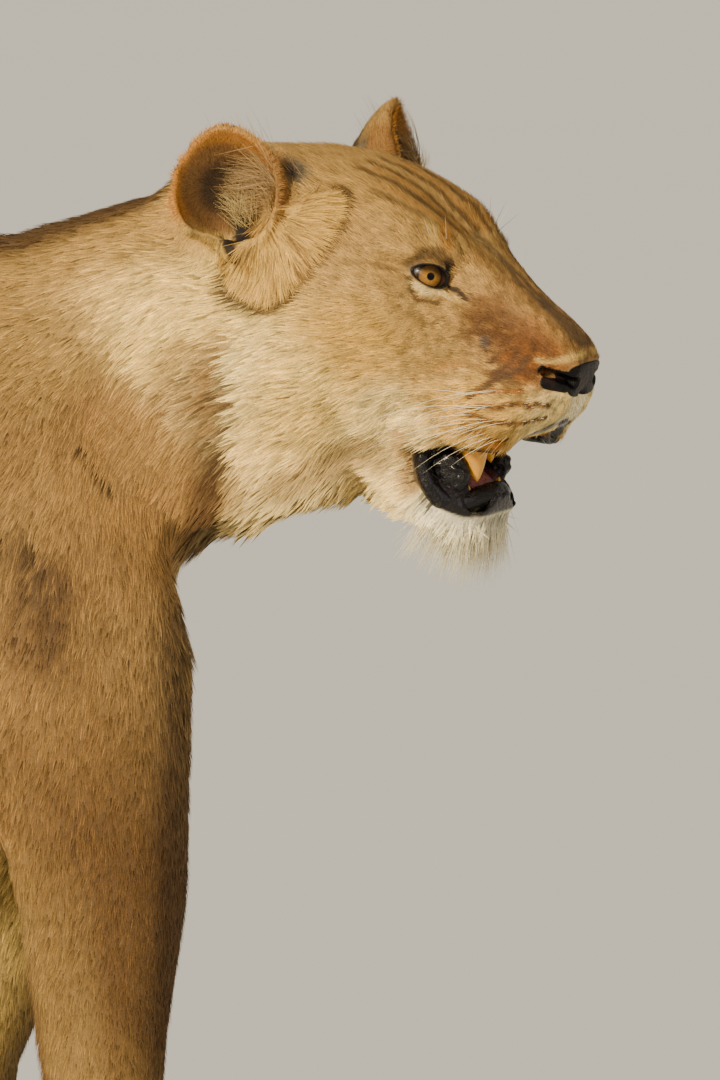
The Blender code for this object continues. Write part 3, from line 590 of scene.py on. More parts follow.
def mesh_from(name, points, blocks):
    """A smooth mesh from arrays of faces, each array with one number of corners."""
    mesh = bpy.data.meshes.new(name)
    sizes = np.concatenate([np.full(len(block), block.shape[1]) for block in blocks])
    mesh.vertices.add(len(points))
    mesh.loops.add(int(sizes.sum()))
    mesh.polygons.add(len(sizes))
    mesh.vertices.foreach_set("co", np.asarray(points, np.float32).ravel())
    mesh.loops.foreach_set("vertex_index", np.concatenate([block.ravel() for block in blocks]).astype(np.int32))
    mesh.polygons.foreach_set("loop_start", np.concatenate([[0], np.cumsum(sizes)[:-1]]).astype(np.int32))
    smooth(mesh)
    mesh.update(calc_edges=True)
    mesh.validate()
    return mesh


def paint(mesh, name, values):
    """Keeps a colour, or a single number, at each vertex under a name that a material reads."""
    values = np.asarray(values, np.float32)
    if values.ndim == 2:
        layer = mesh.attributes.new(name, "FLOAT_COLOR", "POINT")
        layer.data.foreach_set("color", np.hstack([values, np.ones((len(values), 1), np.float32)]).ravel())
    else:
        mesh.attributes.new(name, "FLOAT", "POINT").data.foreach_set("value", values)


# ---------------------------------------------------------------- the skin
def fused_flesh():
    """All nodes of flesh, and the eyeballs under their lids, as one closed surface without the cuts."""
    solids = []
    for name, node in frame["nodes"].items():
        if name == "tongue":
            continue
        solids.append((smooth_ear(name) if name in EARS else node.data).copy())
        if name in CAST_TEETH:
            put_places(solids[-1], toothless(places_of(solids[-1]), CAST_TEETH[name]))
    skin = add_object("skin", welded("skin", solids))
    remesh = skin.modifiers.new("Fuse", "REMESH")
    remesh.mode, remesh.voxel_size, remesh.adaptivity = "VOXEL", SKIN_CELL, 0.0
    return settle(skin)


def toothless(points, teeth):
    """Draws the cast teeth back into a jaw; the real ones are pieces of their own."""
    place, half = in_head(points), half_head(points)
    for root, tip, radius in teeth:
        way = np.array(tip) - root
        share = (half - root) @ way / (way @ way)
        away = np.linalg.norm(half - root - share[:, None] * way, axis=1)
        cast = (share > -0.02) & (share < 1.3) & (away < radius * 1.25)
        place[:, 2] = np.where(cast, root[2] - 0.004 * np.sign(way[2]), place[:, 2])
    return from_head(place)


@functools.cache
def smooth_ear(name):
    ear = rounded_off(name + "_smooth", frame["nodes"][name].data)
    mesh = ear.data
    bpy.data.objects.remove(ear)
    return mesh


def head_share(points):
    """1 on the head and the ears, fading out over the upper neck."""
    ahead, _, up = in_head(points).T
    return step(ahead, -0.075, -0.02) * step(up, -0.26, -0.2)


def feet_share(points):
    return step(points[:, 2], 0.1, 0.06)


def ear_axes(name):
    """Middle of an ear's rim, and its axes: forward across the ear, towards its tip, the way it faces."""
    middle_of_rim, facing, tip = (np.array(row) for row in EARS[name])
    facing = unit(facing)
    tip = unit(tip - facing * (tip @ facing))
    across = np.cross(tip, facing)
    across = across * np.sign(across[0])
    return HEAD_TURN @ middle_of_rim + HEAD_ORIGIN, np.stack([HEAD_TURN @ axis for axis in (across, tip, facing)])


def in_ear(points, name):
    """Places in an ear's own axes, and how far out from its middle they are, with 1 on the rim."""
    middle_of_rim, axes = ear_axes(name)
    place = (points - middle_of_rim) @ axes.T
    return place, np.hypot(place[:, 0] / EAR_SIZE[0], place[:, 1] / EAR_SIZE[1])


def ear_rims(points):
    """Distance to the nearer rim of the ears."""
    found = np.full(len(points), 9.0)
    for name in EARS:
        place, level = in_ear(points, name)
        flat = unit(place[:, :2] / EAR_SIZE)
        height = place[:, 2] + 0.01 * flat[:, 1] + 0.006 * np.abs(flat[:, 0])
        found = np.minimum(found, np.hypot((level - 1) * EAR_SIZE[0], height))
    return found


def onto_ears(points):
    """The points drawn onto the smooth ears where they are close, and 1 on the ears, 0 away from them."""
    share = np.zeros(len(points))
    points = points.copy()
    for name in EARS:
        low, high = (np.array(corner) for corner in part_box(name))
        close = np.flatnonzero(((points > low - 0.006) & (points < high + 0.006)).all(1))
        tree = tree_of(smooth_ear(name))
        found = [tree.find_nearest(Vector(point)) for point in points[close]]
        gaps = np.array([hit[3] for hit in found])
        nearness = step(gaps, 0.0045, 0.002)
        points[close] += (np.array([hit[0] for hit in found]) - points[close]) * nearness[:, None]
        share[close] = np.maximum(share[close], nearness)
    return points, share


def flattened_ear(points):
    """Lets the lower front of the right ear's rim sink into the fur of the cheek."""
    place, rim = in_ear(points, "ear_right")
    turn = np.degrees(np.arctan2(place[:, 1], place[:, 0]))
    share = step(turn, -138, -112) * step(turn, 14, -12) * step(rim, 0.2, 0.5) * step(rim, 1.7, 1.35)
    head = in_head(points)
    base = 0.0965 + 0.0035 * step(head[:, 2], 0.02, -0.02)
    above = np.clip(-head[:, 1] - base, 0, None)
    head[:, 1] += 0.86 * share * above
    return from_head(head)


def thin_out(skin):
    """Fewer triangles over the body; the head and the feet keep theirs."""
    points = places_of(skin.data)
    face = step(in_head(points)[:, 0], 0.04, 0.09)
    keep = np.maximum(head_share(points) * (0.8 + 0.2 * face), feet_share(points) * 0.5)
    group = skin.vertex_groups.new(name="share")
    bands = np.round(np.clip(1 - 0.97 * keep, 0, 1) * 16).astype(int)
    for band in np.unique(bands):
        group.add(np.flatnonzero(bands == band).tolist(), band / 16, "REPLACE")
    fewer = skin.modifiers.new("Fewer", "DECIMATE")
    fewer.ratio = min(1.0, SKIN_TRIANGLES / (2 * len(skin.data.polygons)))
    fewer.vertex_group = "share"
    settle(skin)
    skin.vertex_groups.clear()


def refine(mesh, wanted, rounds):
    """Splits the faces all of whose corners are wanted, once a round."""
    for _ in range(rounds):
        shape, flags = opened(mesh), wanted(places_of(mesh))
        edges = [edge for edge in shape.edges if flags[edge.verts[0].index] and flags[edge.verts[1].index]]
        bmesh.ops.subdivide_edges(shape, edges=edges, cuts=1, use_grid_fill=True)
        odd = [face for face in shape.faces if len(face.verts) > 4]
        bmesh.ops.triangulate(shape, faces=odd)
        shape.to_mesh(mesh)
        shape.free()


# Strokes into the face, on both halves: path, reach, lift.
FACE_STROKES = metres((
    (((132, 60, 26), (140, 51, 31), (156, 38, 32)), 7.5, 3.4),  # overhang of the brow
    (((164, 36, 24), (172, 34, 18)), 8, -3.4),  # hollow before the brow
    (((142.5, 64.7, 5.3), (151.5, 58.7, 2.5), (165, 46, 4)), 4.2, 1.6),  # bag under the eye
    (((140, 66, -3), (150, 62.5, -6), (164, 52, -4)), 3.8, -1.8),  # crease under the bag
    (((157.5, 45.3, 12), (174.5, 38.9, 5.9), (190, 40, -10)), 4, -1.8),  # tear furrow
    (((190, 34, 2), (236, 30, -6)), 8, -2.2),  # beside the bridge
    (((222, 45, -28), (236, 38, -20)), 8, 1.4),  # puff behind the nostril
    (((203, 58, -46), (196, 62, -70), (188, 62, -92)), 7, -2.6),  # fold behind the pad
    (((179.2, 61.9, -47.6), (196, 53.2, -35.7)), 6, -2),  # fold of the cheek
    (((160, 74, -86), (156, 68, -126)), 7, -3.4),  # fold behind the mouth
    (((205, 60, -88), (238, 46, -80)), 7, 2.4),  # lip of the pad
    (((215, 60.5, -60), (244, 50, -48)), 2.8, 0.9),  # first row of the pad
    (((215, 63.5, -66), (248, 48, -56)), 2.8, 0.9),  # second row of the pad
    (((218, 62.5, -74), (247, 49, -68)), 2.8, 0.9),  # third row of the pad
    (((270, 1, -40), (263, 1, -70)), 3.2, -3.2),  # cleft of the lip
    (((148, 72, -10), (110, 86, -4)), 12, 2.2),  # cheekbone
    (((160, 72, -40), (120, 92, -40)), 12, -2),  # under the cheekbone
    (((60, 108, -110), (20, 108, -60)), 16, 3),  # cheek to neck
    (((150, 1, 44), (85, 1, 64)), 7, -2.2),  # furrow of the forehead
    (((160, 10, -158), (112, 10, -165)), 30, 15),  # pouch of the throat
    (((205, 56, -97), (228, 50, -92), (242, 40, -88)), 6, 2.2),  # hanging edge of the upper lip
))
# Strokes into the body, from its origin.
BODY_STROKES = metres((
    ((156, 85, 840), (148, 70, 690), 12, -11),  # fold of the neck
    ((186, 80, 820), (178, 60, 700), 15, 6),  # fold ahead of it
    ((205, 10, 705), (160, 10, 655), 32, -17),  # under the neck
    ((140, 120, 640), (135, 120, 260), 33, 8.5),  # front of the leg
    ((60, 118, 860), (75, 110, 740), 12, -3),  # crease of the neck
    ((-75, 118, 880), (-10, 150, 700), 22, 4),  # shoulder blade
    ((-140, 135, 840), (-130, 160, 640), 26, -4),  # behind the shoulder
    ((-10, 175, 640), (-50, 165, 560), 28, 3),  # muscle of the arm
    ((50, 175, 600), (-30, 165, 500), 12, -3.5),  # groove above the elbow
    ((95, 150, 440), (85, 140, 220), 9, 1.6),  # tendon of the forearm
    ((70, 160, 420), (62, 148, 220), 8, -1.6),  # groove of the forearm
    ((-100, 150, 705), (-78, 152, 690), 6, -2),  # scar of the shoulder
    ((-790, 110, 850), (-850, 120, 800), 26, 4),  # hip
    ((-780, 165, 700), (-760, 150, 560), 26, 3.5),  # thigh muscle
    ((-985, 113, 400), (-1012, 112, 300), 10, 2.5),  # tendon of the hock
    ((-955, 128, 370), (-975, 125, 300), 10, -3),  # hollow of the hock
))


def stroked(points, normals, places, strokes):
    """Raises or sinks the points along each stroke: path, reach, lift."""
    for path, reach, lift in strokes:
        distance, _ = near_path(places, path, 3 * reach)
        points = points + normals * (lift * np.exp(-(distance / reach) ** 2))[:, None]
    return points


def half_body(points):
    """Places from the body's origin with both halves folded onto the right one, the strides taken out."""
    place = points - BODY_ORIGIN
    left = place[:, 1] > 0
    share = step(place[:, 2], SHIFT_TOP, SHIFT_LOW) * left
    place[:, 0] -= share * np.where(place[:, 0] > -0.5, STRIDES["front"], STRIDES["hind"])
    place[:, 1] = np.abs(place[:, 1])
    return place


def skin_depth(points, ears):
    """How far the skin lies inside the tips of the coat."""
    depth = coat_at(points)[3] * PRESSED
    lids = step(around_eyes(points), 2.2, 1.3)
    bare = np.maximum.reduce([leather_share(points), mouth_share(points), lids, ears])
    depth = depth * (1 - bare) + 0.0004 * bare
    on_tail, share = tail_shares(points)
    in_tuft = np.interp(share, (1 - TUFT_FROM, 0.9, 0.97, 1), (0.005, 0.019, 0.018, 0.006))
    return np.where(on_tail * share > 1 - TUFT_FROM, in_tuft, depth)


def shaped_lids(points, edges):
    """Opens each eye between its lids: the skin drops behind the eyeball inside, and wraps the ball outside."""
    for side, centre in EYE_CENTRES.items():
        measure = lid_measure(points, side)
        (inward, up, out), _ = eye_axes(side)
        near = np.flatnonzero(measure < 1.5)
        away = points[near] - centre
        level = measure[near]
        snap = np.where(np.abs(level - 1.0) < 0.05, 1 / level, 1.0)[:, None]
        across, rise = (away @ inward)[:, None] * inward * snap, (away @ up)[:, None] * up * snap
        heading = unit(across + rise + (away @ out)[:, None] * out)
        distance = np.linalg.norm(away, axis=1)
        lid = EYE_RADIUS + LID_THICKNESS * step(level, 0.95, 1.12) + 0.0004
        behind = EYE_RADIUS - 0.0045
        reach = np.where(level < 1.0, behind + (lid - behind) * step(level, 0.9, 1.0), lid)
        reach = reach + (distance - reach) * step(level, 1.16, 1.45)
        points[near] = centre + heading * reach[:, None]
    measure = around_eyes(points)
    return averaged(points, edges, 14, 0.5 * step(measure, 1.1, 1.35) * step(measure, 3.2, 2.2))


def lowered_lip(points):
    """Lets the edge of the upper lip hang a little lower, over the roots of the canines."""
    draw_face_lines(points, [LIP_EDGE])
    distance, _ = near_path(half_head(points), FACE_LINES[LIP_EDGE], 0.03)
    drop = (0.006 + 0.007 * step(in_head(points)[:, 1], 0.02, 0.035)) * np.exp(-(distance / 0.0095) ** 2)
    return points - HEAD_TURN[:, 2] * drop[:, None]


def shaped_face(points, normals):
    """Folds of the face, nostrils, the fan of fur ahead of the right ear and the hanging lip."""
    place = half_head(points)
    draw_face_lines(points, [row[0] for row in FACE_STROKES])
    points = stroked(points, normals, place, [(FACE_LINES[path], *rest) for path, *rest in FACE_STROKES])
    points = points - normals * (0.0085 * nostril_share(points))[:, None]
    level = fan_measure(points)
    rise = 0.005 * step(level, 0.15, 0.75) * step(level, 1.1, 0.93)
    return lowered_lip(points + normals * rise[:, None])


def detail_wanted(points):
    place = half_head(points)
    ahead, aside, up = place.T
    nose = np.linalg.norm(place - (0.258, 0.018, -0.026), axis=1) < 0.026
    mouth = (ahead > 0.16) & (up < -0.084) & (up > -0.156) & (ahead < 0.25) & (aside > 0.034) & (aside < 0.062)
    return (around_eyes(points) < 2.0) | nose | mouth | (ear_rims(points) < 0.0045)


def fine_detail_wanted(points):
    place = half_head(points)
    nose = np.linalg.norm(place - (0.258, 0.016, -0.026), axis=1) < 0.024
    return (around_eyes(points) < 1.7) | nose


def build_skin():
    skin = fused_flesh()
    mesh = skin.data
    points, edges = places_of(mesh), edges_of(mesh)
    head = head_share(points)
    broad = np.clip(1 - head - 0.75 * feet_share(points), 0, 1) * step(points[:, 2], 0.3, 0.55)
    points = averaged(points, edges, 6, 0.45 * np.clip(1 - 0.3 * head, 0, 1))
    points = averaged(points, edges, 10, 0.5 * (1 - head) * (1 - 0.6 * feet_share(points)))
    points = averaged(points, edges, 34, 0.5 * broad)
    put_places(mesh, points)
    thin_out(skin)
    mesh = skin.data
    refine(mesh, detail_wanted, 1)
    refine(mesh, fine_detail_wanted, 1)
    points, edges = places_of(mesh), edges_of(mesh)
    points = averaged(points, edges, 3, 0.5 * detail_wanted(points))
    points, ears = onto_ears(points)
    points = flattened_ear(points)
    put_places(mesh, points)
    depth = skin_depth(points, ears)
    depth = averaged(depth[:, None], edges, 6, 0.6)[:, 0]
    normals = averaged(normals_of(mesh), edges, 4, 0.5)
    points = points - unit(normals) * depth[:, None]
    rows = [(np.array((start, end)), reach, lift) for start, end, reach, lift in BODY_STROKES]
    points = stroked(points, unit(normals), half_body(points), rows)
    put_places(mesh, points)
    points = shaped_face(points, unit(averaged(normals_of(mesh), edges, 2, 0.5)))
    points = averaged(points, edges, 2, 0.35 * head_share(points))
    points = shaped_lids(points, edges)
    put_places(mesh, points)
    smooth(mesh)
    return skin


# ---------------------------------------------------------------- markings
MOTTLED = metres(((205, 44, -12), (224, 44, -26), (236, 40, -22)))       # middle of the muzzle's mottled patch
# Lines and spots of the face, on both halves in head axes: places along it, half width, colour and strength.
FACE_MARKS = marks((
    (((150, 7, 46), (105, 9, 62), (55, 10, 66)), 3, DARK_BROWN, 0.8),  # first streak
    (((152, 20, 45), (112, 28, 60), (60, 32, 64)), 3.6, DARK_BROWN, 0.8),  # second streak
    (((146, 36, 42), (118, 46, 53), (85, 52, 57)), 3, DARK_BROWN, 0.6),  # third streak
    (((150, 14, 46), (108, 18, 62), (70, 20, 66)), 5.6, ORANGE_FUR, 0.5),  # orange between
    (((150, 29, 44), (116, 38, 57), (85, 42, 61)), 4.6, ORANGE_FUR, 0.45),  # orange outside
    # crest of the bridge
    (((150, 4, 42), (177, 2, 31), (198, 4, 21.5), (224.6, 3, 11.4)), 3.2, CREST_BROWN, 0.6),
    (((220, 3, 13), (242, 4, 5), (258, 5, -3)), 6.2, CREST_BROWN, 0.6),  # crest before the nose
    (((160.3, 28, 36.5), (176.5, 18, 31.7)), 8.5, RUST_BROWN, 0.5),  # brown beside the bridge
    (((152, 29, 44), (158, 31, 36)), 4.2, PALE, 0.22),  # pale before the brow
    (((136, 42, 46), (141, 47, 37)), 5, PALE, 0.22),  # pale behind the brow
    (((144.1, 36, 45.4), (150.1, 39.3, 35.4)), 5.8, ORANGE_FUR, 0.75),  # orange of the brow
    (((150, 33, 44), (158, 35, 33)), 2.6, DARK_BROWN, 0.6),  # dark before the brow
    # upper lid: its dark rim, with painted shade of the brow that overhangs it
    (((133, 62, 18), (137.6, 53.8, 25.5), (144.5, 46.3, 29), (155, 41.5, 24.5)), 4.4, DARK_BROWN, 0.8),
    (((129, 68, 13), (112, 78, 10), (94, 84, 2)), 2.6, DARK_BROWN, 0.4),  # line behind the eye
    # cream under the eye
    (((142.5, 64.7, 5.3), (151.5, 58.7, 2.5), (159.3, 49.6, 6), (170.4, 43.2, 4)), 2.7, CREAM, 0.72),
    (((166, 45, 5), (174, 42, 2)), 3, GOLD, 0.6),  # gold below the tear line
    # line under the cream
    (((137, 65, 10), (143, 66.5, -1), (150, 63, -4), (162, 54, -1)), 2, DARK_BROWN, 0.8),
    (((156, 43, 22), (158.5, 44.5, 13)), 4.2, BLACK, 0.95),  # inner corner
    (((157.5, 45.3, 12), (166.4, 41.8, 9), (174.5, 38.9, 6.5)), 2, BLACK, 0.9),  # tear line
    (((195, 38, 0), (235, 32, -10)), 15, RUST_BROWN, 0.62),  # brown of the muzzle
    (((263.5, 10, -64), (260, 18, -70), (247.4, 30, -83)), 4.6, BLACK, 0.95),  # edge before the mouth
    (((269, 5, -46), (265, 7, -62)), 6, WHITE, 0.8),  # white of the cleft
    (((201, 42.7, -18), (203.4, 42.7, -19.6)), 3.4, (0.06, 0.055, 0.055), 0.95),  # spot of the cheek
    (((206.2, 35, -9.2), (210, 37, -13.5)), 3.8, RUST_BROWN, 0.8),  # curl of the muzzle
    (((210, 39, -14), (219.8, 35.5, -12.5), (230, 35, -12)), 8, RUST_BROWN, 0.45),  # brown behind the nostril
    (((212, 45, -30), (218, 40, -22), (230, 39, -24)), 2.6, DARK_BROWN, 0.8),  # third dark line of the rust
    (((218, 56, -44), (230, 47, -33), (242, 40, -32)), 2.4, DARK_BROWN, 0.75),  # fourth dark line of the rust
    (((225.5, 42.4, -23.7), (236, 42, -29)), 8, RUST, 0.75),  # rust behind the nostril
    # dark line of the rust
    (((210.4, 60.1, -54.6), (223.1, 53.7, -39.9), (233.2, 44, -28.4),
      (235.5, 37.7, -19.5)), 3.4, DARK_BROWN, 0.85),
    (((218, 52, -38), (227, 43, -25), (229, 38, -17)), 2.8, DARK_BROWN, 0.75),  # second dark line of the rust
    # cream above the nose
    (((244, 36.5, -17.5), (256.8, 28, -14), (264.5, 18, -9), (267, 6, -6.5)), 2.4, PALE, 0.6),
    (((179.2, 61.9, -47.6), (196, 53.2, -35.7)), 3, ORANGE_FUR, 0.55),  # fold of the cheek
    (((236.2, 49.2, -82.5), (232, 48, -88)), 5.5, RUST, 0.8),  # rust of the lip
    (((197.6, 56, -101), (220.2, 54, -93), (235.3, 46, -88)), 1.8, BLACK, 0.75),  # edge of the upper lip
    (((166, 66, -106), (171, 60, -122), (182, 52, -142)), 5.5, RUST, 0.6),  # brown by the mouth
    (((172, 58, -112), (181, 52, -136), (196, 48, -148)), 3, BLACK, 0.8),  # dark by the mouth
    (((150, 58, -128), (118, 66, -140), (85, 70, -155)), 16, (0.3, 0.165, 0.055), 0.6),  # painted shade of the throat under the jaw, brown
    (((6, 50, 50), (24, 60, 46)), 12, BEHIND_EAR_SHADE, 0.9),  # painted shade of the hair behind the ear
))
# The rows of dark roots on the whisker pad: path, half width, roots, strength.
WHISKER_ROWS = marks((
    (((209.9, 60.3, -55.5), (226.9, 57.1, -45.9), (245, 47, -41)), 1.9, 5, 0.9),
    (((213, 62.8, -63.5), (233.9, 59.9, -54.7), (260, 33, -46)), 2.1, 8, 0.95),
    (((215.7, 63.5, -69), (237.9, 60, -66.7), (260, 31, -56)), 2.1, 8, 0.95),
    (((213.9, 62.7, -76), (229.6, 58.2, -79.5), (242, 48, -79)), 1.9, 5, 0.85),
))
# Marks of the right side of the body, from its origin: ends, half width, colour, strength, how broken up.
BODY_MARKS = marks((
    (((25, 165, 668), (20, 165, 630)), 27, DARK_BROWN, 0.8, 0.5),  # scar
    (((-20, 160, 702), (12, 160, 694)), 10, BLACK, 0.7, 0.7),  # bare patch
    (((50, 150, 768), (74, 150, 738)), 2.2, BLACK, 0.75, 0),  # scratch
    # shade of the neck's fold
    (((154, 90, 815), (150, 80, 770), (142, 70, 690)), 16.8, (0.088, 0.044, 0.018), 0.9, 0.22),
    (((156, 90, 850), (152, 80, 790)), 10, SHOULDER_BROWN, 0.6, 0.4),  # painted shade at the upper end of the neck's fold
    # shade behind the neck's fold
    (((135, 100, 830), (120, 100, 780), (110, 80, 690)), 23, SHOULDER_BROWN, 0.8, 0.3),
    (((130, 120, 640), (128, 120, 420), (120, 110, 250)), 21, DARK_BROWN, 0.7, 0.3),  # painted shade down the front of the arm
    (((45, 160, 480), (50, 160, 466)), 3, DARK_BROWN, 0.6, 0),  # nick of the arm
))


def marked_face(points, colours):
    """Adds the markings of the face to the coat's colours."""
    place = half_head(points)
    rough = mottling(points, 0.0035) + 0.5 * mottling(points, 0.0015, 1)
    for path, width, colour, strength in FACE_MARKS:
        distance, _ = near_path(place, FACE_LINES[path], 2 * width)
        distance = distance + (rough - 0.75) * 0.35 * width
        colours = mixed(colours, colour, strength * step(distance, 1.45 * width, 0.55 * width))
    patch, _ = near_path(place, np.array(MOTTLED), 0.04)
    blotch = step(mottling(points, 0.0042, 13) + 0.5 * mottling(points, 0.0018, 14), 0.6, 0.85)
    colours = mixed(colours, BLOTCH, 0.8 * (blotch * step(patch, 0.032, 0.014)))
    for path, width, count, strength in WHISKER_ROWS:
        line, share = near_path(place, FACE_LINES[path], 0.003)
        beat = np.abs((share * (count - 1) + 0.5) % 1 - 0.5) * 0.042 / (count - 1)
        root = strength * step(np.hypot(line, beat), 1.5 * width, 0.6 * width)
        colours = layered(colours, (RUST, 0.8 * step(line, 0.0028, 0.001)), (DARK_BROWN, root))
    return colours


def ear_zones(points, normals, name):
    """in_ear, how far the skin faces out of the cup, and 1 on the whole ear and inside its cup."""
    place, rim = in_ear(points, name)
    facing = normals @ ear_axes(name)[1][2]
    near = step(rim, 1.22, 1.08) * step(np.abs(place[:, 2]), 0.075, 0.055)
    return place, rim, facing, near, near * step(facing, -0.05, 0.25)


def gap_shade_shares(points, outer, inner):
    """1 in each gap at the foot of the right ear, where shade is painted dark; its edge runs between two shares of
    its half width.
    """
    for start, end, width in SHADED_EAR_GAPS:
        yield step(to_line(in_head(points) * (1, 0, 1), start, end)[0], outer * width, inner * width)


def marked_ears(points, normals, colours):
    """The orange rim, black back and painted shade of the hollow of each ear, painted shade on the far ear and in
    the gaps at the foot of the right one, and the fan of fur ahead of the right one with its dark fringe and
    painted shadow beyond it.
    """
    for name in EARS:
        place, rim, facing, near, inner = ear_zones(points, normals, name)
        across, rise, _ = place.T
        outer = near * step(facing, 0.05, -0.3) * step(rise, -0.03, -0.005)
        high = step(rise - 0.022 * step(across, 0.0, 0.02), -0.03, -0.012)
        front = near * step(rim, 0.84, 0.94) * step(across, 0.004, 0.018) * step(rise, 0.035, 0.02)
        colours = layered(
            colours,
            (EAR_EDGE, high * np.maximum(inner, near * step(rim, 0.9, 0.98))),
            (EAR_ORANGE, high * inner * step(rim, 0.97, 0.86)),
            (EAR_FRONT, 0.85 * front),
            # painted shade that deepens into the hollow of the cup
            (EAR_CUP_SHADE, inner * step(rim, 0.76, 0.6)),
            (EAR_HOLLOW_SHADE, inner * step(rim, 0.55, 0.25)),
            (EAR_BACK, 0.85 * outer * step(rim, 0.8, 0.6)),
            (TAWNY, 0.7 * outer * step(rise, -0.005, -0.03)),
        )
    place = in_head(points)
    # painted shade on the far ear, which turns away from the light
    far_ear_shade = step(in_ear(points, "ear_left")[1], 1.3, 1.1) * step(place[:, 1], 0.03, 0.05)
    level = fan_measure(points)
    inside = step(level, 1.0, 0.94) * step(level, 0.16, 0.24)
    turn = np.arctan2(place[:, 2] - FAN_ROOT[1], place[:, 0] - FAN_ROOT[0])
    streaks = mottling(np.stack([turn, 0.12 * level, 0 * level], 1), 0.045, 17)
    rusty = mottling(points, 0.006, 12)
    return layered(
        colours * (1 - 0.28 * far_ear_shade)[:, None],
        (FAN_GOLD, 0.92 * inside),
        (FAN_STREAK, 0.75 * inside * step(streaks, 0.52, 0.85)),
        (FAN_RUST, 0.75 * inside * step(rusty, 0.55, 0.85) * step(level, 0.75, 0.45)),
        # dark hair of the fan's fringe and painted shadow of the fan on the cheek beyond it
        (FAN_FRINGE_SHADOW, 0.9 * step(level, 1.01, 1.05) * step(level, 1.22, 1.14)),
        # painted shade, nearly black, in the gaps at the foot of the right ear
        *((LID_AND_GAP_SHADE, 0.95 * gap * (place[:, 1] < -0.05)) for gap in gap_shade_shares(points, 1.3, 0.6)),
    )


def marked_body(points, colours):
    """Adds the markings of the shoulder, spine, hocks and tail to the coat's colours, with painted shade in the
    neck's fold, down the front of the arm and on the far foreleg.
    """
    place = half_body(points)
    rough = mottling(points, 0.006)
    right = step(points[:, 1], 0.0, -0.02)
    for path, width, colour, strength, broken in BODY_MARKS:
        distance, _ = to_path(place * (1, 0, 1), [(x, 0, z) for x, _, z in path])
        share = strength * right * step(distance, 1.3 * width, 0.5 * width)
        colours = mixed(colours, colour, share * (1 - broken * step(rough, 0.35, 0.75)))
    # painted shade on the far foreleg, which turns away from the light
    far_leg_shade = step(points[:, 1], 0.02, 0.04) * step(points[:, 2], 0.66, 0.56) * step(place[:, 0], -0.2, -0.1)
    spine = step(np.abs(points[:, 1]), 0.066, 0.032) * step(points[:, 2], 0.8, 0.84) * (1 - head_share(points))
    hocks = step(np.abs(place[:, 0] + 0.99), 0.06, 0.03) * step(np.abs(place[:, 2] - 0.11), 0.09, 0.05)
    on_tail, share = tail_shares(points)
    tuft = on_tail * step(share, 1 - TUFT_FROM - 0.05, 1 - TUFT_FROM + 0.03)
    return layered(
        colours * (1 - 0.3 * far_leg_shade)[:, None],
        (DARK_BROWN, 0.93 * spine), (DARK_BROWN, 0.5 * hocks), (TAIL_DARK, 0.9 * tuft),
    )


def coat_colours(points, normals, colours):
    """The coat's colour at each place, the same for the skin and for the tufts that stand on it."""
    waves = mottling(points, 0.045, 2) - 0.5
    fine = mottling(points, 0.011, 3) - 0.5
    flecks = mottling(points, 0.0042, 15) - 0.5 + 0.7 * (mottling(points, 0.0021, 16) - 0.5)
    on_head = head_share(points)
    ahead, _, up = in_head(points).T
    muzzle, pale = step(ahead, 0.08, 0.18) * on_head, step(up, -0.1, -0.13) * on_head
    flecks = (0.38 + 0.55 * muzzle) * (1 - 0.7 * pale) * flecks
    colours = colours * (1 + 0.18 * waves + 0.22 * fine + flecks)[:, None]
    head = np.flatnonzero(on_head > 0)
    rest = np.flatnonzero((on_head < 1) | (points[:, 0] < BODY_ORIGIN[0] + NECK_REACH))
    colours[rest] = marked_body(points[rest], colours[rest])
    colours[head] = marked_face(points[head], colours[head])
    colours[head] = marked_ears(points[head], normals[head], colours[head])
    return colours


def bare_colours(points, colours, mouth, leather, lids):
    """The bare skin of lips, mouth, nose and eyelids."""
    rough = mottling(points, 0.004, 5)
    ahead, aside, up = half_head(points).T
    inside = step(aside, 0.03, 0.02) * step(ahead, 0.224, 0.212) * step(up, -0.15, -0.14)
    lining = mixed(np.tile(LINING, (len(points), 1)), GUM, inside * (0.3 + 0.5 * rough))
    return layered(colours, (lining, mouth), (LEATHER, leather), (LID_AND_GAP_SHADE, lids))


# ---------------------------------------------------------------- the coat
def region_of(points):
    """Which piece of the coat each place belongs to, by its number in REGIONS."""
    ahead, left = points[:, 0] - BODY_ORIGIN[0], points[:, 1]
    legs = (points[:, 2] < 0.56) & (ahead > -0.25)
    first_that_fits = {
        "head": head_share(points) > 0.5,
        "tail": (ahead < -1.03) & (left > -0.07) & (left < 0.05),
        "hindquarters": ahead < -0.62,
        "foreleg_right": legs & (left < 0),
        "foreleg_left": legs,
        "neck": ahead > 0.03,
        "trunk": np.full(len(points), True),
    }
    return np.select(list(first_that_fits.values()), [REGIONS.index(name) for name in first_that_fits])


def ear_lie(points, normals, ways, lengths, lifts):
    """On the ears hair runs to the tip behind and to the rim within; in the fan it spreads from its root."""
    place, level = in_head(points), fan_measure(points)
    fan = step(level, 1.03, 0.97)
    spread = unit(np.stack([place[:, 0] - FAN_ROOT[0], 0 * level, place[:, 2] - FAN_ROOT[1]], 1)) @ HEAD_TURN.T
    for name in EARS:
        spot, _, _, near, inner = ear_zones(points, normals, name)
        axes = ear_axes(name)[1]
        outward = unit(spot[:, :1] * axes[0] + spot[:, 1:2] * axes[1])
        ways = layered(ways, (axes[1], near), (outward, inner))
        lengths, lifts = mixed(lengths, 0.0058, near), mixed(lifts, 10, near)
    lengths = mixed(lengths, 0.019 - 0.009 * step(level, 0.8, 0.98), fan)
    return mixed(ways, spread, fan), lengths, mixed(lifts, 9 + 5 * step(level, 0.75, 0.95), fan)


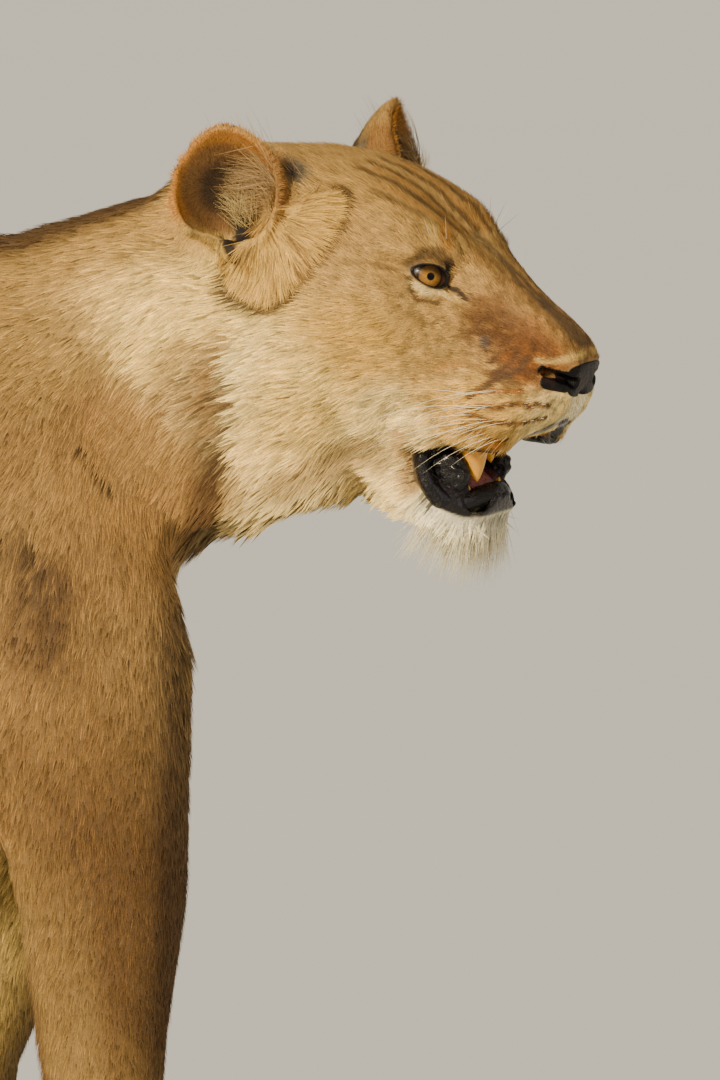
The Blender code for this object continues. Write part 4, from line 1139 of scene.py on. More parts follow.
def coat_fields(mesh):
    """What the coat needs at every vertex of the skin."""
    points, normals = places_of(mesh), normals_of(mesh)
    ways, lengths, lifts, _, base = coat_at(points)
    ways, lengths, lifts = ear_lie(points, normals, ways, lengths, lifts)
    on_tail, share = tail_shares(points)
    tuft = on_tail * step(share, 1 - TUFT_FROM, 1 - TUFT_FROM + 0.05)
    lengths = mixed(lengths, np.interp(share, (0.8, 0.9, 1), (0.06, 0.05, 0.026)), tuft)
    lifts = mixed(lifts, 9, tuft)
    ball = np.minimum(*(np.linalg.norm(points - centre, axis=1) for centre in EYE_CENTRES.values()))
    lids = step(around_eyes(points), 1.15, 1.06) * step(ball, EYE_RADIUS + 0.004, EYE_RADIUS + 0.0028)
    mouth, leather = mouth_share(points), np.maximum(leather_share(points), nostril_share(points))
    # no tufts in the gaps at the foot of the right ear, where the painted shade shows
    gaps = np.maximum.reduce(list(gap_shade_shares(points, 1.1, 0.8))) * (points[:, 1] < -0.05)
    wet = np.maximum.reduce([lids, mouth, leather])
    ways = unit(ways - normals * (ways * normals).sum(1, keepdims=True))
    return {"points": points, "normals": normals, "ways": ways, "lengths": lengths, "lifts": lifts, "base": base,
            "bare": np.maximum(wet, gaps), "wet": wet, "lids": lids, "mouth": mouth, "leather": leather}


def tuft_width(points, lengths):
    """Tufts are broader on the sides that are seen from further away."""
    fine = np.clip(0.105 * lengths, 0.00062, 0.002)
    ahead = points[:, 0] - BODY_ORIGIN[0]
    coarse = 1 + 0.75 * step(ahead, -0.1, -0.35) + 0.35 * step(points[:, 1], 0.02, 0.06)
    return fine * coarse * (1 - 0.55 * step(fan_measure(points), 1.12, 1.0))


def tuft_layers(points):
    """How many tufts lie over each other."""
    ahead = points[:, 0] - BODY_ORIGIN[0]
    return 1.9 - 0.7 * step(ahead, -0.15, -0.4) + 0.6 * head_share(points)


def plant(mesh, fields, rng):
    """Roots of all tufts: places on the skin by chance, evenly, with what the skin holds there."""
    mesh.calc_loop_triangles()
    corners, loops = (read(mesh.loop_triangles, name, 3, np.int32) for name in ("vertices", "loops"))
    areas = read(mesh.loop_triangles, "area", 1)[:, 0]
    widths = tuft_width(fields["points"], fields["lengths"])
    density = tuft_layers(fields["points"]) * 2 / (fields["lengths"] * widths) * (fields["bare"] < 0.5)
    triangles = np.where(fields["lengths"] > LONG_TUFT, 9, 3)
    wanted = areas * density[corners].mean(1)
    scale = min(COAT_TRIANGLES / (wanted * triangles[corners].mean(1)).sum(), 1.0)
    number = np.floor(wanted * scale + rng.random(len(corners))).astype(int)
    picked = np.repeat(np.arange(len(corners)), number)
    first, second = np.sqrt(rng.random(len(picked))), rng.random(len(picked))
    shares = np.stack([1 - first, first * (1 - second), first * second], 1)
    roots = {name: np.einsum("ij,ij...->i...", shares, values[corners[picked]]) for name, values in fields.items()}
    uvs = read(mesh.uv_layers["OFBake"].data, "uv", 2)
    roots["uv"] = np.einsum("ij,ijk->ik", shares, uvs[loops[picked]])
    triangle = fields["points"][corners]
    flat = unit(np.cross(triangle[:, 1] - triangle[:, 0], triangle[:, 2] - triangle[:, 0]))
    roots["flat"] = flat[picked]
    roots["widths"] = tuft_width(roots["points"], roots["lengths"]) / math.sqrt(scale)
    keep = roots["bare"] < 0.45
    return {name: values[keep] for name, values in roots.items()}


def ruffled(roots, rng):
    """Turns the ways a little, together in clumps and each by itself, and varies length and lift."""
    points = roots["points"]
    normals = unit(roots["flat"] + 0.25 * roots["normals"])
    ways = unit(roots["ways"] - normals * (roots["ways"] * normals).sum(1, keepdims=True))
    sides = np.cross(ways, normals)
    clump = mottling(points, 0.014, 7) - 0.5 + 0.7 * (mottling(points, 0.005, 8) - 0.5)
    turn = 0.42 * clump + 0.1 * rng.standard_normal(len(points))
    ways = unit(ways * np.cos(turn)[:, None] + sides * np.sin(turn)[:, None])
    loose = 0.45 + 1.1 * mottling(points, 0.009, 9)
    lifts = np.radians(roots["lifts"]) * loose + np.radians(2.5) * np.abs(rng.standard_normal(len(points)))
    lengths = roots["lengths"] * (0.72 + 0.5 * rng.random(len(points)))
    return points, normals, ways, lifts, lengths


def tuft_colours(roots, points, normals, bearded, rng):
    """The coat's colour at each root, lighter or darker from tuft to tuft."""
    colours = coat_colours(points, normals, roots["base"])
    shade = 1 + 0.2 * (1 - 0.6 * bearded) * rng.standard_normal(len(points))
    colours = colours * np.clip(shade, 0.55, 1.5)[:, None]
    colours[rng.random(len(points)) < 0.05] *= 1.3
    colours[rng.random(len(points)) < 0.1 * (1 - bearded)] *= 0.58
    # the beard lighter by a quarter: painted light on hair that hangs in the shade under the jaw
    return colours * (1 + 0.25 * bearded)[:, None]


def tuft_meshes(skin, fields, rng):
    """The coat by region and by length: name and mesh of each piece."""
    roots = plant(skin.data, fields, rng)
    points, normals, ways, lifts, lengths = ruffled(roots, rng)
    soft = unit(roots["normals"])
    place = in_head(points)
    bearded = step(place[:, 2], -0.125, -0.15) * head_share(points)
    through = np.stack([np.full(len(points), 0.35), 0.45 * np.sign(place[:, 1]), np.ones(len(points))], 1)
    soft = unit(mixed(soft, unit(through) @ HEAD_TURN.T, 0.8 * bearded))      # light passes through the beard
    colours = tuft_colours(roots, points, normals, bearded, rng)
    columns = (points, normals, soft, ways, lifts, lengths, roots["widths"], colours, roots["uv"])
    regions = region_of(points)
    for kind, segments, group in (("short", 1, lengths <= LONG_TUFT), ("long", 2, lengths > LONG_TUFT)):
        most = MOST_TRIANGLES // (6 * segments - 3)
        for number, region in enumerate(REGIONS):
            chosen = np.flatnonzero(group & (regions == number))
            parts = max(1, math.ceil(len(chosen) / most))
            for part, block in enumerate(np.array_split(chosen, parts)):
                if len(block):
                    name = f"coat_{region}_{kind}" + (f"_{part + 1}" if parts > 1 else "")
                    yield name, tufts(name, segments, *(values[block] for values in columns))


def tufts(name, segments, points, normals, soft, ways, lifts, lengths, widths, colours, uvs):
    """A mesh of thin three-sided tufts, each with one or two segments, that start under the skin."""
    def reached(bend, reach):
        return (ways * np.cos(bend)[:, None] + normals * np.sin(bend)[:, None]) * reach[:, None]

    sides = np.cross(ways, normals)
    rings, tints, leans = [], [], []
    for index in range(segments):
        along = index / segments
        centre = points - normals * 0.0004 + reached(lifts * (1 - 0.35 * along), lengths * along)
        half = widths * (1 - 0.35 * along) / 2
        aside = sides * half[:, None]
        rings += [centre - aside, centre + aside, centre + normals * (0.32 * half)[:, None]]
        # darker towards the root: painted shade where the tufts cover each other
        tints += [colours * (0.54 + 0.46 * along)] * 3
        leans += [unit(soft - 0.35 * sides), unit(soft + 0.35 * sides), unit(soft + 0.1 * ways)]
    rings.append(points + reached(lifts * (0.75 if segments == 2 else 1.0), lengths))
    # lighter at the tip: painted highlight
    tints.append(colours * 1.24)
    leans.append(unit(soft + 0.2 * ways))
    tip = 3 * segments
    layout, under = [], []
    for left in range(0, tip, 3):
        for one, two in ((left, left + 2), (left + 2, left + 1), (left + 1, left)):
            wall = [(one, two, two + 3), (one, two + 3, one + 3)] if left + 3 < tip else [(one, two, tip)]
            layout += wall
            under += [one == left + 1] * len(wall)
    layout, under = np.array(layout), np.array(under)
    faces = (np.arange(len(points))[:, None, None] * (tip + 1) + layout[None]).reshape(-1, 3)
    mesh = mesh_from(name, np.stack(rings, 1).reshape(-1, 3), [faces])
    paint(mesh, "tint", np.stack(tints, 1).reshape(-1, 3))
    lean = np.stack(leans, 1)[:, layout]
    lean[:, under] = -lean[:, under]
    mesh.normals_split_custom_set(lean.reshape(-1, 3).astype(np.float32))
    spread = np.array([((-1, 1, 0)[k % 3] * (1 - 0.4 * (k // 3)), -1 + 1.2 * (k // 3) + 0.3 * (k % 3 == 2))
                       for k in range(tip)] + [(0, 1)])
    patch = uvs[:, None, None] + TUFT_PATCH * spread[layout][None]
    mesh.uv_layers.new(name="OFBake").data.foreach_set("uv", patch.astype(np.float32).ravel())
    return mesh


# ---------------------------------------------------------------- shader maths
class Wire:
    """A socket's value. Adding and multiplying it, or taking it from a number, adds the Math node that does so."""

    def __init__(self, finish, socket):
        self.finish, self.socket = finish, socket

    def worked(self, operation, first, second):
        return self.finish.node("Math", {"operation": operation}, {0: first, 1: second})

    def __add__(self, other):
        return self.worked("ADD", self, other)

    def __rsub__(self, other):
        return self.worked("SUBTRACT", other, self)

    def __mul__(self, other):
        return self.worked("MULTIPLY", self, other)


class Finish:
    """The nodes of one material. What is the same all over is set on the shader at once."""

    def __init__(self, name, **fixed):
        self.material = bpy.data.materials.new(name)
        self.material.use_nodes = True
        self.nodes, self.links = self.material.node_tree.nodes, self.material.node_tree.links
        self.wears(**fixed)

    def wears(self, **sockets):
        for name, value in sockets.items():
            self.feed(self.nodes["Principled BSDF"].inputs[name.replace("_", " ")], value)
        return self.material

    def feed(self, socket, value):
        if isinstance(value, Wire):
            self.links.new(value.socket, socket)
        elif isinstance(value, tuple) and socket.type == "RGBA":
            socket.default_value = (*value, 1.0)
        else:
            socket.default_value = value

    def node(self, kind, settings=None, values=None, output=0):
        node = self.nodes.new("ShaderNode" + kind)
        for setting, value in (settings or {}).items():
            setattr(node, setting, value)
        for socket, value in (values or {}).items():
            self.feed(node.inputs[socket], value)
        return Wire(self, node.outputs[output])

    def kept(self, name, output="Color"):
        """What paint() kept on the mesh."""
        return self.node("Attribute", {"attribute_name": name}, output=output)

    def noise(self, size, detail=3.0, rough=0.55, place=None):
        place = place or self.node("TexCoord", output="Object")
        values = {"Vector": place, "Scale": 1 / size, "Detail": detail, "Roughness": rough}
        return self.node("TexNoise", values=values)

    def cells(self, size):
        place = self.node("TexCoord", output="Object")
        return self.node("TexVoronoi", values={"Vector": place, "Scale": 1 / size}, output="Distance")

    def between(self, share, low, high, start=0.0, end=1.0):
        """low to high as share runs from start to end."""
        return self.node("MapRange", values={0: share, 1: start, 2: end, 3: low, 4: high})

    def blended(self, first, second, share, start=0.0, end=1.0):
        """The first colour where share is at its start, the second at its end."""
        factor = self.between(share, 0.0, 1.0, start, end)
        return self.node("Mix", {"data_type": "RGBA"}, {0: factor, 6: first, 7: second}, 2)

    def scaled(self, colour, factor):
        return self.node("VectorMath", {"operation": "SCALE"}, {0: colour, "Scale": factor})

    def lit(self, colour, *way):
        """The colour made darker or lighter: share, low, high, start and end as in between()."""
        return self.scaled(colour, self.between(*way))

    def bumped(self, height, depth, strength=1.0):
        return self.node("Bump", values={"Height": height, "Distance": depth, "Strength": strength})


def coat_finish():
    """Tufts: the colour each one was given, with fine strands in it."""
    coat = Finish("coat_hair", Specular_IOR_Level=0.12)
    strand = coat.noise(0.0011, 2.0)
    return coat.wears(Base_Color=coat.lit(coat.kept("tint"), strand, 0.74, 1.28, 0.3, 0.7),
                      Roughness=coat.between(strand, 0.66, 0.5))


def skin_finish():
    """Short fur that lies flat over the skin, and bare wet skin where there is none."""
    skin = Finish("skin_fur", Specular_IOR_Level=0.35)
    bare = skin.kept("bare", "Fac")
    fur = 1 - bare
    hairs, wrinkles = skin.noise(0.0016, 4.0, 0.62), skin.cells(0.0032)
    colour = skin.scaled(skin.kept("tint"), skin.between(hairs, 0.78, 1.12, 0.32, 0.68) * fur + bare)
    rough = skin.between(hairs, 0.85, 0.68) * fur + skin.between(wrinkles, 0.34, 0.22) * bare
    relief = skin.bumped(hairs * fur + wrinkles * bare * 0.6, 0.0009, 0.8)
    return skin.wears(Base_Color=colour, Roughness=rough, Normal=relief)


def leather_finish():
    """The pebbled black leather of the nose, browner where it is rubbed."""
    leather = Finish("nose_leather", Specular_IOR_Level=0.14, Coat_Roughness=0.25)
    pebbles, worn = leather.cells(0.0011), leather.noise(0.01)
    colour = leather.blended((0.004, 0.0032, 0.003), (0.018, 0.008, 0.006), worn, 0.48, 0.7)
    return leather.wears(
        Base_Color=leather.lit(colour, pebbles, 0.55, 1.25, 0.0, 0.6), Roughness=leather.between(worn, 0.42, 0.28),
        Coat_Weight=leather.between(worn, 0.0, 0.16), Normal=leather.bumped(pebbles, 0.0005, 0.9))


def lip_finish():
    """The wet black lip, wrinkled along its length."""
    lip = Finish("lip_skin", Specular_IOR_Level=0.2, Coat_Roughness=0.12)
    wrinkles, pores = lip.noise(0.0042, 4.0, 0.6), lip.cells(0.0016)
    return lip.wears(
        Base_Color=lip.blended((0.006, 0.005, 0.0055), (0.022, 0.015, 0.016), wrinkles, 0.5, 0.78),
        Roughness=lip.between(wrinkles, 0.38, 0.2), Coat_Weight=lip.between(pores, 0.15, 0.45),
        Normal=lip.bumped(wrinkles + pores * 0.15, 0.0022))


def flesh_finish():
    flesh = Finish("tongue_flesh", Specular_IOR_Level=0.5, Subsurface_Weight=0.15, Subsurface_Scale=0.004)
    papillae, patches = flesh.cells(0.0013), flesh.noise(0.012)
    colour = flesh.blended((0.42, 0.15, 0.135), (0.24, 0.085, 0.095), patches, 0.4, 0.7)
    return flesh.wears(Base_Color=flesh.lit(colour, papillae, 1.2, 0.75, 0.0, 0.6),
                       Roughness=flesh.between(patches, 0.36, 0.24), Normal=flesh.bumped(papillae, 0.0007, 0.8))


def tooth_finish():
    """Yellow-brown stain at the gum, paler enamel towards the tip, and fine lines down the crown."""
    tooth = Finish("tooth_enamel", Specular_IOR_Level=0.35, Coat_Roughness=0.1,
                   Subsurface_Weight=0.1, Subsurface_Scale=0.003)
    stain, lines = tooth.noise(0.004, 4.0), tooth.noise(0.0012, 2.0)
    along = tooth.kept("along", "Fac") + stain * 0.5
    colour = tooth.blended((0.66, 0.22, 0.01), (0.85, 0.41, 0.045), along, 0.15, 1.05)
    return tooth.wears(
        Base_Color=tooth.lit(colour, lines, 0.88, 1.08), Roughness=tooth.between(stain, 0.34, 0.2),
        Coat_Weight=tooth.between(stain, 0.1, 0.3), Normal=tooth.bumped(lines, 0.0003, 0.5))


def horn_finish():
    horn = Finish("claw_horn", Specular_IOR_Level=0.5)
    layers = horn.noise(0.003, 4.0)
    return horn.wears(Base_Color=horn.blended((0.1, 0.065, 0.04), (0.3, 0.22, 0.15), layers, 0.35, 0.7),
                      Roughness=horn.between(layers, 0.45, 0.3), Normal=horn.bumped(layers, 0.0004, 0.6))


def whisker_finish():
    whisker = Finish("whisker_hair", Specular_IOR_Level=0.4)
    grain = whisker.noise(0.004, 2.0)
    return whisker.wears(Base_Color=whisker.lit(whisker.kept("tint"), grain, 0.85, 1.1),
                         Roughness=whisker.between(grain, 0.45, 0.32))


def eye_finish():
    """An amber iris with fine spokes, a small round pupil and a dark rim, under a wet cornea, with painted shade
    of the upper lid over its top.
    """
    eye = Finish("eye_wet", Specular_IOR_Level=0.12, Coat_Roughness=0.06, Roughness=0.3)
    out = eye.kept("from_axis", "Fac")                       # 0 on the axis of sight, 1 at the rim of the iris
    spokes = eye.noise(0.055, 3.0, 0.6, eye.kept("turn", "Vector"))
    iris = eye.blended((0.5, 0.24, 0.042), (0.23, 0.095, 0.018), out, 0.35, 1.0)
    iris = eye.lit(iris, spokes, 0.42, 1.06, 0.3, 0.7)
    colour = eye.blended((0.002, 0.002, 0.002), iris, out, 0.27, 0.33)
    colour = eye.blended(colour, (0.012, 0.007, 0.005), out, 0.86, 1.0)
    white = eye.blended((0.05, 0.026, 0.016), (0.09, 0.045, 0.026), eye.noise(0.004), 0.4, 0.7)
    colour = eye.blended(colour, white, out, 1.05, 1.2)
    relief = spokes * eye.between(out, 0.0, 1.0, 0.35, 0.6)
    return eye.wears(Base_Color=eye.scaled(colour, eye.kept("shade", "Fac")),
                     Coat_Weight=eye.between(spokes, 0.05, 0.09), Normal=eye.bumped(relief, 0.0002, 0.2))


def floor_finish():
    floor = Finish("studio_floor", Specular_IOR_Level=0.2)
    cloud = floor.noise(1.7)
    return floor.wears(Base_Color=floor.blended((0.735, 0.73, 0.715), (0.765, 0.76, 0.75), cloud),
                       Roughness=floor.between(cloud, 0.78, 0.7))


# ---------------------------------------------------------------- pieces beside the coat
def ring_axes(path):
    """At each point of a path two directions across it that turn as little as they can."""
    ways = unit(np.gradient(path, axis=0))
    first = np.cross(ways[0], (0.3, 0.2, 0.9))
    axes = []
    for way in ways:
        first = unit(first - way * (first @ way))
        axes.append((first, np.cross(way, first)))
    return np.array(axes)


def tube_parts(path, radii, around):
    """Points, walls and caps of a closed tube through the path; the last radius may be near nothing."""
    path = np.asarray(path, float)
    axes = ring_axes(path)
    angles = np.arange(around) * 2 * math.pi / around
    circle = np.cos(angles)[None, :, None] * axes[:, 0, None] + np.sin(angles)[None, :, None] * axes[:, 1, None]
    rings = (path[:, None] + circle * np.asarray(radii, float)[:, None, None]).reshape(-1, 3)
    index = np.arange(around)
    after = (index + 1) % around
    walls = [np.stack([k + index, k + after, k + around + after, k + around + index], 1)
             for k in range(0, len(rings) - around, around)]
    last = len(rings) - around
    caps = [np.stack([after, index, np.full(around, len(rings))], 1),
            np.stack([last + index, last + after, np.full(around, len(rings) + 1)], 1)]
    return np.concatenate([rings, path[:1], path[-1:]]), np.concatenate(walls), np.concatenate(caps)


def tubes(name, rows, around):
    """One piece of many tubes: rows of path, radii and colour."""
    points, walls, caps, tints, along, start = [], [], [], [], [], 0
    for path, radii, colour in rows:
        some, wall, cap = tube_parts(path, radii, around)
        points.append(some)
        walls.append(wall + start)
        caps.append(cap + start)
        tints.append(np.tile(colour, (len(some), 1)))
        along.append(np.concatenate([np.repeat(np.linspace(0, 1, len(path)), around), [0, 1]]))
        start += len(some)
    mesh = mesh_from(name, np.concatenate(points), [np.concatenate(walls), np.concatenate(caps)])
    paint(mesh, "tint", np.concatenate(tints))
    paint(mesh, "along", np.concatenate(along))
    return add_object(name, mesh)


def smooth_path(points, count):
    """A smooth curve through the points."""
    points = np.asarray(points, float)
    full = np.concatenate([[2 * points[0] - points[1]], points, [2 * points[-1] - points[-2]]])
    spots = np.linspace(0, len(points) - 1 - 1e-9, count)
    k = spots.astype(int)
    t = (spots - k)[:, None]
    a, b, c, d = full[k], full[k + 1], full[k + 2], full[k + 3]
    return 0.5 * (2 * b + (c - a) * t + (2 * a - 5 * b + 4 * c - d) * t * t + (3 * b - a - 3 * c + d) * t**3)


LIP_PATH = metres((
    (178.5, 46.5, -117), (183, 46.5, -128), (190, 45, -138), (200.5, 40, -145.5), (210.5, 31, -146.5),
    (217.2, 20, -142.5), (220.8, 10, -139), (222, 0, -137),
))
LIP_RADII = metres((4, 5.8, 6.8, 7.6, 8.4, 8.6, 8.4, 8.2))


def wrinkled(mesh, depth, size, fine, stretch=1.0):
    """Lays folds over the surface of wet skin."""
    spots, normals = places_of(mesh), normals_of(mesh)
    folds = mottling(spots * (1, 1, stretch), size, 4) - 0.5 + 0.5 * (mottling(spots, fine, 6) - 0.5)
    put_places(mesh, spots + normals * (depth * folds)[:, None])


def lower_lip():
    """The thick wet roll of the lower lip, from corner to corner of the mouth."""
    left, radii = smooth_path(LIP_PATH, 40), smooth_path(np.array(LIP_RADII)[:, None], 40)
    whole = np.concatenate([left, left[-2::-1] * (1, -1, 1)])
    points, *blocks = tube_parts(whole, np.concatenate([radii, radii[-2::-1]])[:, 0], 28)
    mesh = mesh_from("lower_lip", from_head(points), blocks)
    wrinkled(mesh, 0.0016, 0.0065, 0.003)
    return add_object("lower_lip", mesh)


def inner_cheeks():
    """The wet black folds of the cheeks that fill the corners of the mouth."""
    shape = bmesh.new()
    for side in (1, -1):
        place = Matrix.Translation((0.1935, 0.0325 * side, -0.1285))
        size = Matrix.Diagonal((0.0205, 0.0085, 0.0195, 1.0))
        bmesh.ops.create_icosphere(shape, subdivisions=5, radius=1.0, matrix=place @ size)
    mesh = mesh_of(shape, "inner_cheeks")
    put_places(mesh, from_head(places_of(mesh)))
    wrinkled(mesh, 0.003, 0.008, 0.0028, 2.2)
    smooth(mesh)
    return add_object("inner_cheeks", mesh)


def tooth_row(jaw):
    """The teeth of one jaw: each a broad cone sunk in the gum."""
    rows = []
    for (root, tip, radius), side in itertools.product(TEETH[jaw], (1, -1)):
        moved = FAR_CANINE if side > 0 and (root, tip, radius) == TEETH["upper"][0] else 0
        start, end = (np.array(place) * (1, side, 1) + moved for place in (root, tip))
        along = np.linspace(-0.25, 1, 18)
        taper = radius * np.clip(1 - np.clip(along, 0, 1) ** 1.25, 0.0006, 1) ** 0.72
        rows.append((from_head(start + (end - start) * along[:, None]), taper, (1, 1, 1)))
    return tubes("teeth_" + jaw, rows, 24)


def whisker_rows(tree, rng):
    """Long pale whiskers that sweep back and down from the pads, brow hairs and fine hairs of the lips."""
    rows = []

    def way_near(way, chance):
        return unit(np.array(way) + chance * rng.standard_normal(3))

    for side in (1, -1):
        for number, (path, _, count, _) in enumerate(WHISKER_ROWS):
            line = FACE_LINES[path]
            for index in range(count):
                share = 1 - (index + 0.5) / count
                root = line[int((1 - share) * (len(line) - 1))] * (1, side, 1)
                reach = (0.03 + 0.065 * share) * (0.75 + 0.35 * rng.random())
                way = way_near((-0.8 - 0.25 * share, side * (0.5 - 0.2 * share), -0.22 - 0.1 * number), 0.08)
                rows.append(whisker(tree, root, way, reach, 0.0003, -0.22 - 0.1 * rng.random(), WHITE))
        for index in range(5):
            root = (0.15 - 0.005 * index, side * (0.036 + 0.004 * index), 0.041 - 0.001 * index)
            way, colour = way_near((0.3 - 0.2 * index, side * 0.45, 0.75), 0.1), WHITE if index % 2 else BLACK
            rows.append(whisker(tree, root, way, 0.02 + 0.01 * rng.random(), 0.0002, -0.05, colour))
        for _ in range(34):
            share = rng.random()
            root = (0.19 + 0.06 * share, side * (0.064 - 0.024 * share), -0.082 + 0.01 * rng.random())
            way = way_near((-0.55, side * 0.3, -0.7), 0.16)
            rows.append(whisker(tree, root, way, 0.012 + 0.012 * rng.random(), 0.00016, -0.15, CREAM))
    return tubes("whiskers", rows, 5)


def whisker(tree, root, way, reach, radius, droop, colour):
    """One hair from the skin, drooping at its end: its path in the frame, radii and colour."""
    start = np.array(tree.find_nearest(Vector(from_head([root])[0]))[0])
    along = np.linspace(0, 1, 9)[:, None]
    heading = HEAD_TURN @ way
    path = start - heading * 0.002 + heading * (reach * along) + np.array((0, 0, 1)) * (droop * reach * along**2)
    return path, radius * (1 - 0.88 * along[:, 0]), np.clip(colour, 0, 1)


def ear_hair(rng, hand, index, locks, tones):
    """One hair's direction, length, rise, root and colour: of a lock, of the canal, or of the far ear's front."""
    lock = rng.integers(len(locks))
    turn, reach = math.radians(98 + 6 * lock + 2.2 * rng.standard_normal()), locks[lock] * rng.uniform(0.85, 1.1)
    spot, rise = (0.03 + 0.009 * rng.standard_normal(), -0.004 + 0.009 * rng.standard_normal()), 0.22
    colour = mixed(EAR_HAIR, ORANGE_FUR, 0.8 * rng.random()) * tones[lock] * rng.uniform(0.7, 1.1)
    if index % 7 == 0:
        turn, reach, rise = math.radians(rng.uniform(80, 150)), rng.uniform(0.014, 0.026), 0.45
        spot = (rng.uniform(0.006, 0.024), rng.uniform(-0.034, -0.014))
        colour = np.array(CREAM) * rng.uniform(0.6, 1.0)
    if hand < 0 and index % 3 == 0:
        turn, reach, rise = math.radians(rng.uniform(20, 75)), rng.uniform(0.014, 0.03), 0.6
        spot = (rng.uniform(0.034, 0.05), rng.uniform(-0.04, 0.0))
        colour = np.array(CREAM) * rng.uniform(0.75, 1.05)
    return np.array((math.cos(turn) * hand, math.sin(turn), rise)), reach, (spot[0] * hand, spot[1], 0.0), colour


def strands_of_the_ears(tree, rng):
    """Long pale hairs that cross each ear's cup from its front edge, and short white ones at the canal."""
    rows = []
    along = np.linspace(0, 1, 7)
    for name, hand in (("ear_right", 1), ("ear_left", -1)):
        centre, axes = ear_axes(name)
        locks, tones = rng.uniform(0.026, 0.05, 16), rng.uniform(0.3, 1.1, 16)
        for index in range(900):
            way, reach, spot, colour = ear_hair(rng, hand, index, locks, tones)
            hit = tree.ray_cast(Vector(centre + spot @ axes + axes[2] * 0.02), Vector(-axes[2]))[0]
            if hit is None:
                continue
            way = unit(way + 0.07 * rng.standard_normal(3)) @ axes
            sag = axes[2] * (-0.35 * reach * along**2)[:, None]
            path = np.array(hit) - axes[2] * 0.001 + way * (reach * along)[:, None] + sag
            rows.append((path, 0.00022 * (1 - 0.85 * along), colour))
    return tubes("ear_strands", rows, 3)


def beard(tree, rng):
    """Single stiff hairs that stand out of the chin's tufts."""
    rows = []
    for _ in range(900):
        side = rng.choice((-1, 1))
        ahead, aside, up = rng.uniform(0.185, 0.24), side * rng.uniform(0.0, 0.042), rng.uniform(-0.182, -0.158)
        way = unit(np.array(((ahead - 0.212) * 12, side * 6 * abs(aside), -1)) + 0.12 * rng.standard_normal(3))
        reach, tone = rng.uniform(0.022, 0.042), rng.uniform(0.75, 1.1)
        rows.append(whisker(tree, (ahead, aside, up), way, reach, 0.00026, 0.0, np.array(WHITE) * tone))
    return tubes("beard", rows, 4)


def globe(side):
    """An eyeball with the bulge of its cornea, turned where the lioness looks."""
    gaze = unit(HEAD_TURN @ (GAZE * (1, side, 1)))
    shape = bmesh.new()
    bmesh.ops.create_uvsphere(shape, u_segments=64, v_segments=48, radius=1.0)
    mesh = mesh_of(shape, "eyeball")
    turned = np.array(Vector((0, 0, 1)).rotation_difference(Vector(gaze)).to_matrix())
    directions = places_of(mesh)
    angle = np.arccos(np.clip(directions[:, 2], -1, 1))
    reach = EYE_RADIUS - 0.0002 + CORNEA_RISE * step(angle, math.radians(34), 0.0)
    put_places(mesh, (directions * reach[:, None]) @ turned.T + EYE_CENTRES[side])
    paint(mesh, "from_axis", angle / math.asin(IRIS_RADIUS / EYE_RADIUS))
    rise = (directions @ turned.T) @ eye_axes(side)[0][1] * EYE_RADIUS
    paint(mesh, "shade", 1 - 0.85 * step(rise, -0.0025, 0.0038))      # painted shade under the upper lid
    around = np.hstack([unit(directions[:, :2]), 0.15 * angle[:, None]])
    layer = mesh.attributes.new("turn", "FLOAT_VECTOR", "POINT")
    layer.data.foreach_set("vector", around.astype(np.float32).ravel())
    smooth(mesh)
    return add_object("eyeball_" + ("right" if side < 0 else "left"), mesh)


def nose_leather(skin):
    """The bare leather as a thin shell over the skin that dips under the fur at its rim."""
    share = leather_share(places_of(skin.data))
    shape = opened(skin.data)
    gone = [face for face in shape.faces if max(share[v.index] for v in face.verts) < 0.05]
    bmesh.ops.delete(shape, geom=gone, context="FACES")
    bmesh.ops.subdivide_edges(shape, edges=shape.edges, cuts=1, use_grid_fill=True)
    mesh = mesh_of(shape, "nose_leather")
    points = places_of(mesh)
    pebbles = mottling(points, 0.0022, 2) - 0.5
    lift = -0.0006 + 0.0012 * step(leather_share(points), 0.25, 0.8) + 0.00025 * pebbles
    put_places(mesh, points + normals_of(mesh) * averaged(lift[:, None], edges_of(mesh), 1, 0.4))
    smooth(mesh)
    return add_object("nose_pad", mesh)


def claws(tree):
    """The claws, drawn back between the toes so that only their tips show."""
    rows = []
    along = np.linspace(0, 1, 12)
    for (paw, width), across in itertools.product(PAW_WIDTHS.items(), TOES):
        low, high = (np.array(corner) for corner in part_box(paw))
        start = np.array((high[0] + 0.05, (low[1] + high[1]) / 2 + across * width, low[2] + 0.021))
        hit = tree.ray_cast(Vector(start), Vector((-1, 0, 0)))[0]
        if hit is None:
            continue
        root = np.array(hit) - np.array((0.01, 0, -0.004))
        path = root + np.outer(along, (0.016, 0, -0.004)) + np.outer(along**2.2, (0, 0, -0.006))
        rows.append((path, 0.0026 * np.sqrt(np.clip(1 - along**1.6, 0.001, 1)), (1, 1, 1)))
    return tubes("claws", rows, 12)


# ---------------------------------------------------------------- the model
def unwrap_skin(skin):
    """A map of the skin's own shape, for the bake and for the places of the tufts."""
    skin.data.uv_layers.new(name="OFBake")
    bpy.ops.object.select_all(action="DESELECT")
    skin.select_set(True)
    bpy.context.view_layer.objects.active = skin
    bpy.ops.object.mode_set(mode="EDIT")
    bpy.ops.mesh.select_all(action="SELECT")
    bpy.ops.uv.smart_project(angle_limit=1.15, island_margin=0.002)
    bpy.ops.object.mode_set(mode="OBJECT")


def dressed(piece, material):
    """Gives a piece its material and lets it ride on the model."""
    piece.data.materials.clear()
    piece.data.materials.append(material)
    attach(piece, "root")
    return piece


